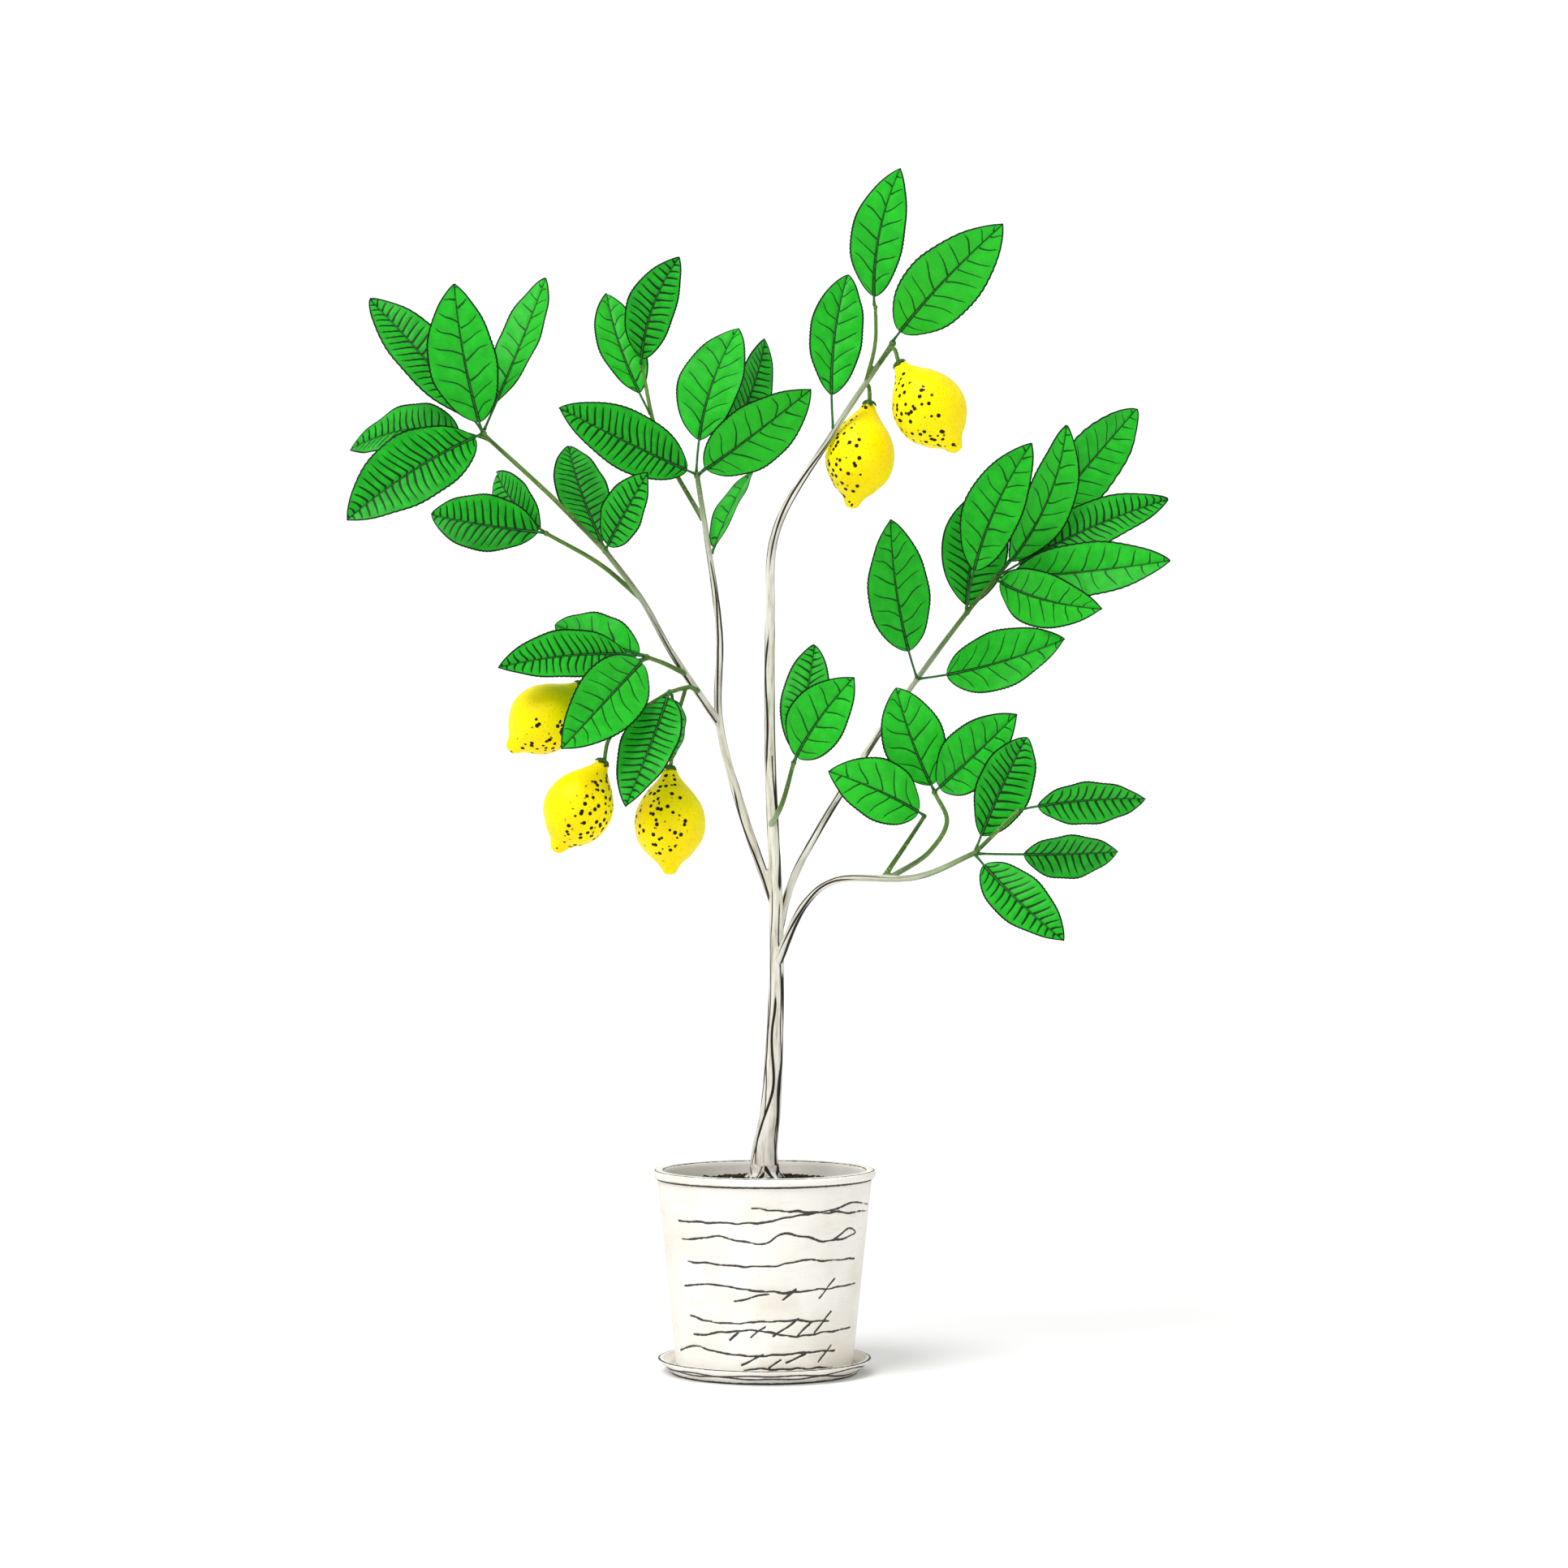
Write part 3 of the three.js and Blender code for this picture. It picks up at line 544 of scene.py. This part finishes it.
def makeBlade(name, form, kind, finishes, dice):
    look = leaf[kind]
    halfWidth, bladeLength = form["halfWidth"], form["length"] - form["stalk"]
    wavePhase, waves, tone = dice.uniform(0, 6.3), dice.uniform(2.2, 3.6), dice.random()
    waveHeight = leaf["wave"] * min(1.0, halfWidth / (leaf["fullWaveHalfWidth"] * mm)) ** 2
    curl = dice.uniform(-leaf["mostCurl"], leaf["mostCurl"]) * mm
    veinShift = dice.uniform(0, look["veinSpacing"])
    seed = Vector((dice.uniform(0, 50), dice.uniform(0, 50), 0))
    bm = bmesh.new()
    bmesh.ops.create_grid(bm, x_segments=leaf["acrossSteps"], y_segments=leaf["alongSteps"], size=1)
    mmLayer = bm.verts.layers.float_vector.new("bladeMm")
    shareLayer = bm.verts.layers.float_vector.new("bladeShare")
    for vert in bm.verts:
        across, share = vert.co.x, (vert.co.y + 1) / 2
        half = max(0.35 * mm, halfWidth * bladeOutline(share))
        distance = abs(across) * half / mm
        along = share * bladeLength / mm
        middle = smoothStep(0, 0.12, share) * smoothStep(1, 0.8, share)  # flat at the base and at the tip
        wander = noise.noise(seed + Vector((across * 1.3, along / 24, 0))) * 0.35 * look["veinSpacing"]
        phase = along - distance * look["veinSlant"] + distance ** 2 * 0.006 + wander + veinShift
        phase += 0.4 * look["veinSpacing"] if across > 0 else 0  # side veins alternate
        ripple = math.cos(phase / look["veinSpacing"] * 2 * math.pi)
        inner = smoothStep(0, 4, distance) * smoothStep(1, 0.6, abs(across)) * middle
        lift = abs(across) * half * leaf["fold"] / mm
        lift -= math.exp(-(distance / 1.5) ** 2) * leaf["midribDepth"]
        quilting = (0.5 - 0.5 * ripple) * inner * leaf["quilting"]
        lift += quilting - max(0.0, ripple) ** 3 * inner * leaf["veinDepth"]
        lift += math.sin(share * waves * 6.28 + wavePhase + (0.9 if across > 0 else 0)) \
            * across ** 2 * waveHeight * middle
        half *= 1 + leaf["teeth"] * math.sin(along * 1.9) * middle
        vert[mmLayer] = (across * half / mm, phase, (1 - abs(across)) * half / mm)
        vert[shareLayer] = (abs(across), share, tone)
        rise = lift * mm + curl * across * share
        vert.co = onLeaf(form, across * half, rise, form["stalk"] + share * bladeLength)
    bmesh.ops.recalc_face_normals(bm, faces=bm.faces)
    if bm.faces[len(bm.faces) // 2].normal.dot(form["face"]) < 0:
        bmesh.ops.reverse_faces(bm, faces=bm.faces)
    surfaces = [finishes[kind], finishes["under"]]
    blade = finishPiece(bm, "leafBlade_" + name, surfaces, ["leaf_" + name])
    solid = blade.modifiers.new("bladeThickness", "SOLIDIFY")
    solid.thickness = leaf["thickness"] * mm
    solid.offset = -1
    solid.material_offset = 1


# The stalk swells where it joins the twig, and runs on as the midrib under the blade.
def makeStalk(name, form, finish):
    rings = [(onLeaf(form, 0, 0, step * mm), radius * mm)
             for step, radius in ((-1.2, 1.5), (0.5, 1.45), (2.5, 1.15), (6, 1.0))]
    start = 6 * mm
    bladeLength = form["length"] - form["stalk"]
    for i in range(1, 15):
        distance = start + (form["stalk"] + bladeLength * 0.92 - start) * i / 14
        share = (distance - form["stalk"]) / bladeLength
        sink = 0.5 * smoothStep(-0.03, 0.06, share) + 0.35 * smoothStep(0, 0.2, share)
        rings.append((onLeaf(form, 0, -sink * mm, distance), (1.0 - 0.75 * max(0.0, share)) * mm))
    finishPiece(tube(rings, leaf["stalkSides"]), "leafStalk_" + name, [finish], ["leaf_" + name])


def makeLeaves():
    woodTree = surfaceTree("trunk_and_branches")
    finishes = {"sunlit": leafUpper("sunlit"), "shaded": leafUpper("shaded"), "under": leafUnder()}
    stalkSkin = leafStalkSkin()
    dice = random.Random(7)
    for node in sorted(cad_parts):
        if node.startswith("leaf_"):
            name = node.removeprefix("leaf_")
            form = leafFrame(node, woodTree)
            makeBlade(name, form, "shaded" if name in leaf["shadedLeaves"] else "sunlit", finishes, dice)
            makeStalk(name, form, stalkSkin)


makeLeaves()
print("leaves made")


lemon = {
    "rows": 96, "sides": 96, "lumps": 0.5, "ribs": 0.4,  # mm
    "pitSpacing": 2.6, "shadeSpeckSpacing": 5.4,  # mm; the oil glands are drawn about twice their real size
    "rind": "#ffec00", "deep": "#fbdf00", "pit": "#eac600", "shadeSpeck": "#1f1a05",
    # Half outline, from the nipple to the neck: share of the length, share of the radius
    "outline": [(0, 0), (0.006, 0.1), (0.02, 0.17), (0.06, 0.24), (0.11, 0.34), (0.2, 0.64), (0.33, 0.91),
                (0.47, 1), (0.62, 0.93), (0.76, 0.7), (0.87, 0.41), (0.93, 0.27), (0.975, 0.2), (0.995, 0.12),
                (1, 0)],
    # Which way each fruit's side with dark dots of painted shade looks
    "shadeSpeckledSide": {"top_left": (-0.75, -0.65, -0.1), "top_right": (-0.6, -0.75, -0.3),
                     "spray_left": (0.2, -0.7, -0.7), "spray_middle": (0.55, -0.8, -0.3),
                     "spray_right": (-0.35, -0.9, 0.15)},
}
calyx = {
    "sides": 60, "lobes": 5, "lobeDepth": 0.19, "radius": 7.0,  # mm
    "outline": [(0, 2.1), (1.6, 2.0), (2.6, 1.6), (3.9, 1.2), (5.2, 0.5), (6.2, -0.8), (7, -2.6), (6.7, -2.9),
                (5.9, -1.6), (4.8, -0.9), (3, -0.8), (0, -0.8)],
}


def lemonRind():
    # Lemon rind: waxy bright yellow with oil-gland pits, and dark dots of painted shade clustered on one
    # side.
    material, add, shader = newMaterial("lemonRind", Roughness=0.38, Specular_IOR_Level=0.13, IOR=1.45,
                                        Subsurface_Weight=0.06, Subsurface_Scale=3 * mm)
    place = add("TexCoord", out=3)
    pits = add("TexVoronoi", {"Vector": place, "Scale": 1000 / lemon["pitSpacing"]})
    shadeSpecks = add("TexVoronoi", {"Vector": place, "Scale": 1000 / lemon["shadeSpeckSpacing"]})
    patch = add("TexNoise", {"Vector": place, "Scale": 60.0, "Detail": 2.0})
    tint = add("TexNoise", {"Vector": place, "Scale": 28.0, "Detail": 3.0})
    deeper = add("MapRange", {0: tint, 1: 0.4, 2: 0.75}, interpolation_type="SMOOTHSTEP")
    colour = add("Mix", {0: deeper, 6: lemon["rind"], 7: lemon["deep"]}, out=2, data_type="RGBA")
    pitted = add("MapRange", {0: pits, 1: 0.3, 2: 0.05, 4: 0.8}, interpolation_type="SMOOTHSTEP")
    colour = add("Mix", {0: pitted, 6: colour, 7: lemon["pit"]}, out=2, data_type="RGBA")
    clustered = add("MapRange", {0: patch, 1: 0.34, 2: 0.44}, interpolation_type="SMOOTHSTEP")
    side = add("Attribute", out=2, attribute_name="shadeSpeckled")
    where = add("Math", {0: clustered, 1: side}, operation="MULTIPLY")
    where = add("MapRange", {0: where, 1: 0.2, 2: 0.4}, interpolation_type="SMOOTHSTEP")
    # painted shade: dark dots, clustered on one side of each fruit
    dot = add("MapRange", {0: shadeSpecks, 1: 0.38, 2: 0.3}, interpolation_type="SMOOTHSTEP")
    dot = add("Math", {0: dot, 1: where}, operation="MULTIPLY")
    colour = add("Mix", {0: dot, 6: colour, 7: lemon["shadeSpeck"]}, out=2, data_type="RGBA")
    sunk = add("MapRange", {0: pits, 1: 0.05, 2: 0.45}, interpolation_type="SMOOTHSTEP")
    feed(shader, colour, add("Bump", {"Height": sunk, "Distance": 0.35 * mm, "Strength": 0.8}))
    return material


def calyxSkin():
    # Calyx: a dry green woody star, matt, browned in places.
    material, add, shader = newMaterial("calyxSkin", Roughness=0.7, Specular_IOR_Level=0.2)
    fleck = add("TexNoise", {"Vector": add("TexCoord", out=3), "Scale": 500.0, "Detail": 4.0})
    colour = add("ValToRGB", {0: fleck}, stops=[(0.3, "#1f3d14"), (0.6, "#3c6b24"), (0.8, "#6f6f36")])
    feed(shader, colour, add("Bump", {"Height": fleck, "Distance": 0.3 * mm, "Strength": 0.6}))
    return material


def makeLemon(name, finish, dice):
    bm = mergedCopy("lemon_" + name)
    points = [vert.co.copy() for vert in bm.verts]
    bm.free()
    low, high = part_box("calyx_" + name)
    calyxPlace = (Vector(low) + Vector(high)) / 2
    stem = min(points, key=lambda p: (p - calyxPlace).length)
    nipple = max(points, key=lambda p: (p - stem).length)
    stem = max(points, key=lambda p: (p - nipple).length)
    axis, length = (stem - nipple).normalized(), (stem - nipple).length
    radius = max(((p - nipple) - axis * (p - nipple).dot(axis)).length for p in points)
    outline = [(along * length, across * radius) for along, across in lemon["outline"]]
    profile = [(max(0.0, across), along) for along, across in smoothCourse(outline, length / lemon["rows"])]
    bm = turned(profile, lemon["sides"])
    shadeSpeckLayer = bm.verts.layers.float.new("shadeSpeckled")
    turn = axis.to_track_quat("Z", "Y")
    seed = Vector((dice.uniform(0, 9), dice.uniform(0, 9), dice.uniform(0, 9)))
    shadeSpeckledSide = Vector(lemon["shadeSpeckledSide"][name]).normalized()
    bm.normal_update()
    for vert in bm.verts:
        along = vert.co.z / length
        lump = noise.noise(vert.co / (16 * mm) + seed) * lemon["lumps"]
        around = math.atan2(vert.co.y, vert.co.x)
        rib = noise.noise(Vector((math.cos(around) * 2, math.sin(around) * 2, along))) * lemon["ribs"]
        vert.co += vert.normal * (lump + rib) * smoothStep(0, 0.15, along) * smoothStep(1, 0.85, along) * mm
    bm.normal_update()
    for vert in bm.verts:
        vert[shadeSpeckLayer] = smoothStep(0.45, 0.8, (turn @ vert.normal).dot(shadeSpeckledSide))
        vert.co = nipple + turn @ vert.co
    finishPiece(bm, "lemonFruit_" + name, [finish], ["lemon_" + name])


def makeCalyx(name, finish):
    bm = mergedCopy("calyx_" + name)
    centre = sum((vert.co for vert in bm.verts), Vector()) / len(bm.verts)
    bm.free()
    low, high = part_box("lemon_" + name)
    turn = (centre - (Vector(low) + Vector(high)) / 2).to_track_quat("Z", "Y")
    bm = turned([(radius * mm, height * mm) for radius, height in calyx["outline"]], calyx["sides"])
    for vert in bm.verts:
        lobe = math.cos(calyx["lobes"] * math.atan2(vert.co.y, vert.co.x)) - 1
        pull = 1 + calyx["lobeDepth"] * lobe * min(1.0, vert.co.xy.length / (calyx["radius"] * mm))
        vert.co.xy *= pull
        if vert.co.z < -0.8 * mm:  # between the lobes the brim droops less
            vert.co.z *= pull ** 2
    bmesh.ops.transform(bm, matrix=Matrix.Translation(centre) @ turn.to_matrix().to_4x4(), verts=bm.verts)
    finishPiece(bm, "calyxStar_" + name, [finish], ["calyx_" + name])


def makeFruit():
    rind, star = lemonRind(), calyxSkin()
    dice = random.Random(11)
    for name in sorted(lemon["shadeSpeckledSide"]):
        makeLemon(name, rind, dice)
        makeCalyx(name, star)


makeFruit()
print("fruit made")


pot = {
    "sides": 480, "rowSpacing": 1.0, "footRadius": 76.0, "wall": 7.0, "lipOverhang": 2.5,  # mm
    "floor": 7, "footRecess": 2, "drainRadius": 9,
    "lineWidth": 0.95, "grooveDepth": 0.7,
    "body": "#f1eee7", "shade": "#e4dfd4", "throwing": "#d3ccbc", "fleck": "#8b7a63", "washAndShade": "#1d1a18",
    # Lines scratched round the front while the clay was wet: across from the middle and height, in mm
    "frontLines": [
        [(-10, 150), (50, 146), (80, 151), (90, 146)],
        [(-73, 136), (0, 138), (45, 145), (90, 141)],
        [(-70, 120), (-40, 125), (0, 120), (16, 128), (50, 121), (78, 124), (72, 129), (60, 122)],
        [(-65, 102), (10, 101), (32, 105), (77, 102)],
        [(-68, 80), (-50, 84), (0, 79), (78, 80)],
        [(-25, 71), (4, 77)],
        [(-63, 55), (-40, 51), (10, 54), (55, 52)],
        [(-60, 39), (-8, 46), (22, 41), (74, 43)],
        [(-72, 22), (-60, 29), (-30, 25), (60, 26)],
        [(-17, 12), (20, 13), (58, 11)],
        # Short strokes that cross them
        [(16, 72), (27, 80)], [(47, 73), (60, 87)], [(-29, 38), (-22, 44)], [(-11, 40), (1, 49)],
        [(8, 41), (29, 55)], [(29, 41), (41, 53)], [(43, 43), (57, 59)], [(-19, 16), (-1, 25)],
        [(4, 14), (14, 21)], [(19, 17), (35, 25)], [(46, 17), (57, 30)]],
    "handShake": 1.6,  # mm
    "backHeights": (151, 138, 122, 102, 80, 53, 43, 26),
}
saucer = {"footRadius": 80.0, "floor": 5.0, "wall": 4.5, "rowSpacing": 0.7}  # mm


def whiteStoneware():
    # Unglazed white stoneware: matt and slightly sandy, with dark iron oxide rubbed into its scratched lines,
    # partly painted shade of those grooves; dark lines of painted shade under the lip and round the foot.
    material, add, shader = newMaterial("whiteStoneware", Roughness=0.62, Specular_IOR_Level=0.3)
    place = add("TexCoord", out=3)
    washAndShade = add("Attribute", out=2, attribute_name="washAndShade")
    clouds = add("TexNoise", {"Vector": place, "Scale": 22.0, "Detail": 4.0})
    flat = add("Mapping", {"Vector": place, "Scale": (0.12, 0.12, 1.0)})
    # Throwing marks about 2.4 mm apart
    rings = add("TexNoise", {"Vector": flat, "Scale": 420.0, "Detail": 3.0})
    grit = add("TexNoise", {"Vector": place, "Scale": 1500.0, "Detail": 2.0})  # sand about 0.6 mm
    flecks = add("TexVoronoi", {"Vector": place, "Scale": 190.0})
    ragged = add("TexNoise", {"Vector": place, "Scale": 260.0, "Detail": 4.0})
    cloudy = add("MapRange", {0: clouds, 1: 0.38, 2: 0.72}, interpolation_type="SMOOTHSTEP")
    colour = add("Mix", {0: cloudy, 6: pot["body"], 7: pot["shade"]}, out=2, data_type="RGBA")
    marks = add("MapRange", {0: rings, 1: 0.55, 2: 0.75, 4: 0.25}, interpolation_type="SMOOTHSTEP")
    colour = add("Mix", {0: marks, 6: colour, 7: pot["throwing"]}, out=2, data_type="RGBA")
    dots = add("MapRange", {0: flecks, 1: 0.09, 2: 0.04, 4: 0.55}, interpolation_type="SMOOTHSTEP")
    colour = add("Mix", {0: dots, 6: colour, 7: pot["fleck"]}, out=2, data_type="RGBA")
    raggedWashAndShade = add("Math", {0: ragged, 1: 0.7, 2: washAndShade}, operation="MULTIPLY_ADD")
    # dark lines: partly painted shade in the grooves, and painted shade under the lip and at the foot
    darkWashAndShade = add("MapRange", {0: raggedWashAndShade, 1: 0.62, 2: 0.95, 4: 0.96}, interpolation_type="SMOOTHSTEP")
    colour = add("Mix", {0: darkWashAndShade, 6: colour, 7: pot["washAndShade"]}, out=2, data_type="RGBA")
    height = add("Math", {0: rings, 1: 2.2, 2: grit}, operation="MULTIPLY_ADD")
    feed(shader, colour, add("Bump", {"Height": height, "Distance": 0.12 * mm, "Strength": 0.6}))
    return material


# Corners of a profile joined by steps no longer than the spacing.
def profileRows(corners, spacing):
    rows = [corners[0]]
    for a, b in zip(corners, corners[1:]):
        count = max(1, math.ceil(math.dist(a, b) / spacing))
        for i in range(1, count + 1):
            rows.append((a[0] + (b[0] - a[0]) * i / count, a[1] + (b[1] - a[1]) * i / count))
    return rows


# Every scratched line as close points on the unrolled wall: distance round from the front, and height.
def scratchTree(wallAt):
    spots = []
    for number, line in enumerate(pot["frontLines"]):
        for across, height in smoothCourse(line, 0.5):
            height += noise.noise(Vector((across / 11, number * 2.3, 7.1))) * pot["handShake"]
            radius = wallAt(height)
            spots.append((math.asin(min(0.995, across / radius)) * radius, height))
    for number, level in enumerate(pot["backHeights"]):
        radius = wallAt(level)
        starts = 96 + 6 * (number % 3), 186 + 9 * ((number + 1) % 3)
        ends = 178 - 7 * (number % 4), 262 - 5 * (number % 3)
        for start, end in zip(starts, ends):
            for angle in (start + 0.35 * i for i in range(int((end - start) / 0.35))):
                wave = noise.noise(Vector((angle / 14, number * 3.7, 0.3))) * 4
                spots.append((math.radians((angle + 180) % 360 - 180) * radius, level + wave))
    tree = KDTree(len(spots))
    for i, (around, height) in enumerate(spots):
        tree.insert((around, height, 0), i)
    tree.balance()
    return tree


def makePot(finish):
    low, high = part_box("pot")
    rim, top, base = high[0] / mm, high[2] / mm, low[2] / mm
    foot = pot["footRadius"]

    def wallAt(height):
        return foot + (rim - pot["lipOverhang"] - foot) * (height - base) / (top - base)

    def innerAt(height):
        return wallAt(height) - pot["wall"]

    outside = profileRows([(foot, base + 1.5), (wallAt(top - 8), top - 8)], pot["rowSpacing"])
    lip = [(wallAt(top - 7.4) + 0.1, top - 7.5), (rim - 1.3, top - 7), (rim - 0.4, top - 6), (rim, top - 4.6),
           (rim, top - 2.6), (rim - 0.5, top - 1.1), (rim - 1.6, top - 0.2), (rim - 3, top),
           (innerAt(top) + 2.4, top), (innerAt(top) + 0.9, top - 0.6), (innerAt(top) + 0.2, top - 1.8)]
    inside = profileRows([(innerAt(top - 2), top - 2.4), (innerAt(top - 30), top - 30)], 3.0)
    floor, recess, drain = base + pot["floor"], base + pot["footRecess"], pot["drainRadius"]
    below = [(innerAt(base + 12), base + 12), (innerAt(base + 8) - 4, floor), (drain, floor), (drain, recess),
             (foot - 10, recess), (foot - 8, base + 0.2), (foot - 6, base), (foot - 1.5, base),
             (foot - 0.4, base + 0.5)]
    outline = outside + lip + inside + below + outside[:1]
    bm = turned([(radius * mm, height * mm) for radius, height in outline], pot["sides"])
    washAndShadeLayer = bm.verts.layers.float.new("washAndShade")
    scratches = scratchTree(wallAt)
    bm.normal_update()
    for vert in bm.verts:
        height = vert.co.z / mm
        radius = vert.co.xy.length / mm
        angle = math.atan2(vert.co.x, -vert.co.y)
        outer = radius > wallAt(height) - 1
        vert[washAndShadeLayer] = 0.0
        if height < top - 8.2 and outer:
            away = scratches.find((angle * wallAt(height), height, 0))[2]
            width = pot["lineWidth"] * (1 + 0.5 * noise.noise(Vector((angle * 6, height / 9, 4))))
            scratch = math.exp(-(away / width) ** 2)
            ridge = 0.16 * noise.noise(Vector((math.cos(angle) / 2, math.sin(angle) / 2, height / 5.5)))
            vert.co -= vert.normal * (scratch * pot["grooveDepth"] - ridge) * mm
            # the dark in the scratched lines is partly painted shade of the grooves; the band just above the
            # base is painted shade
            vert[washAndShadeLayer] = max(scratch, math.exp(-((height - base - 2) / 1.6) ** 2))
        elif height < top - 6.6 and outer:
            vert[washAndShadeLayer] = 0.8  # a dark line under the lip, painted shade
        elif height > top - 0.9 and (radius > rim - 2.2 or radius < innerAt(top) + 1.4):
            vert[washAndShadeLayer] = 0.66  # and a dark line along each of its edges
    finishPiece(bm, "thrownPot", [finish], ["pot"])


def makeSaucer(finish):
    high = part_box("saucer")[1]
    rim, top = high[0] / mm, high[2] / mm
    foot, floor = saucer["footRadius"], saucer["floor"]
    inner = rim - saucer["wall"]
    outline = [(0, 0)]
    outline += profileRows([(foot - 1.5, 0), (foot - 0.4, 0.4), (foot, 1.5), (rim - 0.3, top - 1.8)],
                           saucer["rowSpacing"])
    outline += [(rim, top - 1.0), (rim - 0.3, top - 0.3), (rim - 1, top), (inner + 0.9, top),
                (inner + 0.1, top - 0.4)]
    outline += profileRows([(inner - 0.3, top - 1.2), (foot + 1.4, floor + 2.6), (foot - 0.4, floor + 0.6),
                            (foot - 2, floor)], 1.2)
    outline += [(0, floor)]
    bm = turned([(radius * mm, height * mm) for radius, height in outline], pot["sides"])
    washAndShadeLayer = bm.verts.layers.float.new("washAndShade")
    for vert in bm.verts:
        height = vert.co.z / mm
        radius = vert.co.xy.length / mm
        angle = math.atan2(vert.co.x, -vert.co.y)
        vert[washAndShadeLayer] = 0.0
        # two dark lines round the outside, and a dark band at the foot that is painted shade where the saucer
        # meets the floor
        if radius > foot - 3 and height < top - 1:
            wander = noise.noise(Vector((math.cos(angle) * 3, math.sin(angle) * 3, 1))) * 3
            lines = [math.exp(-((height - top * share - wander * way) / 0.9) ** 2)
                     for share, way in ((0.42, 1), (0.62, -1))]
            outer = radius > foot + (rim - foot) * height / top - 2
            vert[washAndShadeLayer] = max(max(lines) if outer else 0.0, math.exp(-(height / 1.7) ** 2))
        elif height > top - 0.5 and radius > rim - 1.6:
            vert[washAndShadeLayer] = 0.66
    finishPiece(bm, "thrownSaucer", [finish], ["saucer"])


stoneware = whiteStoneware()
makePot(stoneware)
makeSaucer(stoneware)
print("pot and saucer thrown")


soil = {
    "sides": 200, "rings": 64, "skirt": 10, "wallGap": 4,  # mm
    "crumbShake": 0.16,  # how far a crumb's corners move, as a share of its radius
    # What lies on the bed: how many, the least and most radius in mm, flatness, dark and light colours
    "compostCrumbs": (900, 1.0, 2.8, 0.8, "#15120d", "#413629"),
    "barkChips": (70, 3.0, 6.5, 0.35, "#1e1913", "#4b4133"),
    "perliteGrains": (26, 1.2, 2.2, 0.9, "#cfcbc0", "#f1efe8"),
}


def crumbly(name, dark, light, scale):
    # Damp compost and what is in it: matt, rough and uneven in colour.
    material, add, shader = newMaterial(name, Roughness=0.95, Specular_IOR_Level=0.15)
    place = add("TexCoord", out=3)
    crumb = add("TexNoise", {"Vector": place, "Scale": scale, "Detail": 7.0, "Roughness": 0.7})
    colour = add("ValToRGB", {0: crumb}, stops=[(0.35, dark), (0.7, light)])
    feed(shader, colour, add("Bump", {"Height": crumb, "Distance": 1.2 * mm, "Strength": 0.9}))
    return material


def makeSoil():
    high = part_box("soil")[1]
    edge = high[0]
    ground = surfaceTree("soil")

    def surface(x, y):
        hit = ground.ray_cast(Vector((x, y, high[2] + 0.05)), Vector((0, 0, -1)))[0]
        return hit.z if hit and hit.z > high[2] - 0.03 else high[2] - 0.008

    bm = turned([(edge * i / soil["rings"], 0) for i in range(soil["rings"] + 1)], soil["sides"])
    for vert in bm.verts:
        spot = vert.co / mm
        rough = noise.fractal(spot / 7, 0.8, 2.1, 4) * 0.9 + abs(noise.noise(spot / 2.4)) * 0.9
        reach = min(1.0, vert.co.xy.length / edge)
        level = surface(vert.co.x * 0.985, vert.co.y * 0.985)
        vert.co.z = level + (rough - 0.4) * mm * (1 - 0.5 * reach ** 8)
    skirt = bmesh.ops.extrude_edge_only(bm, edges=[e for e in bm.edges if e.is_boundary])["geom"]
    for vert in (g for g in skirt if isinstance(g, bmesh.types.BMVert)):
        vert.co.z -= soil["skirt"] * mm
        vert.co.xy *= 0.988
    bmesh.ops.contextual_create(bm, geom=[e for e in bm.edges if e.is_boundary])
    bmesh.ops.recalc_face_normals(bm, faces=bm.faces)
    finishPiece(bm, "compostBed", [crumbly("dampCompost", "#17130e", "#3b3228", 260.0)], ["soil"])
    dice = random.Random(3)
    trunkTree = surfaceTree("trunk_and_branches")
    for name in ("compostCrumbs", "barkChips", "perliteGrains"):
        count, least, most, flat, dark, light = soil[name]
        bm = bmesh.new()
        for _ in range(count):
            angle = dice.uniform(0, 2 * math.pi)
            reach = (edge - soil["wallGap"] * mm) * math.sqrt(dice.random())
            x, y = reach * math.cos(angle), reach * math.sin(angle)
            size = dice.uniform(least, most) * mm
            place = Vector((x, y, surface(x, y) + size * flat * 0.35))
            if trunkTree.find_nearest(place)[3] < size * 1.1:
                continue
            spin = Matrix.Rotation(dice.uniform(0, 6.3), 4, "Z")
            turn = spin @ Matrix.Rotation(dice.uniform(-0.5, 0.5), 4, "X")
            stretch = Matrix.Diagonal((1.0, dice.uniform(0.55, 0.9), flat, 1.0))
            made = bmesh.ops.create_icosphere(bm, subdivisions=1, radius=size,
                                              matrix=Matrix.Translation(place) @ turn @ stretch)
            for vert in made["verts"]:
                shift = Vector((dice.uniform(-1, 1), dice.uniform(-1, 1), dice.uniform(-1, 1)))
                vert.co += shift * size * soil["crumbShake"]
        finishPiece(bm, name, [crumbly(name + "Surface", dark, light, 400.0)], smooth=False)


makeSoil()
print("soil laid")
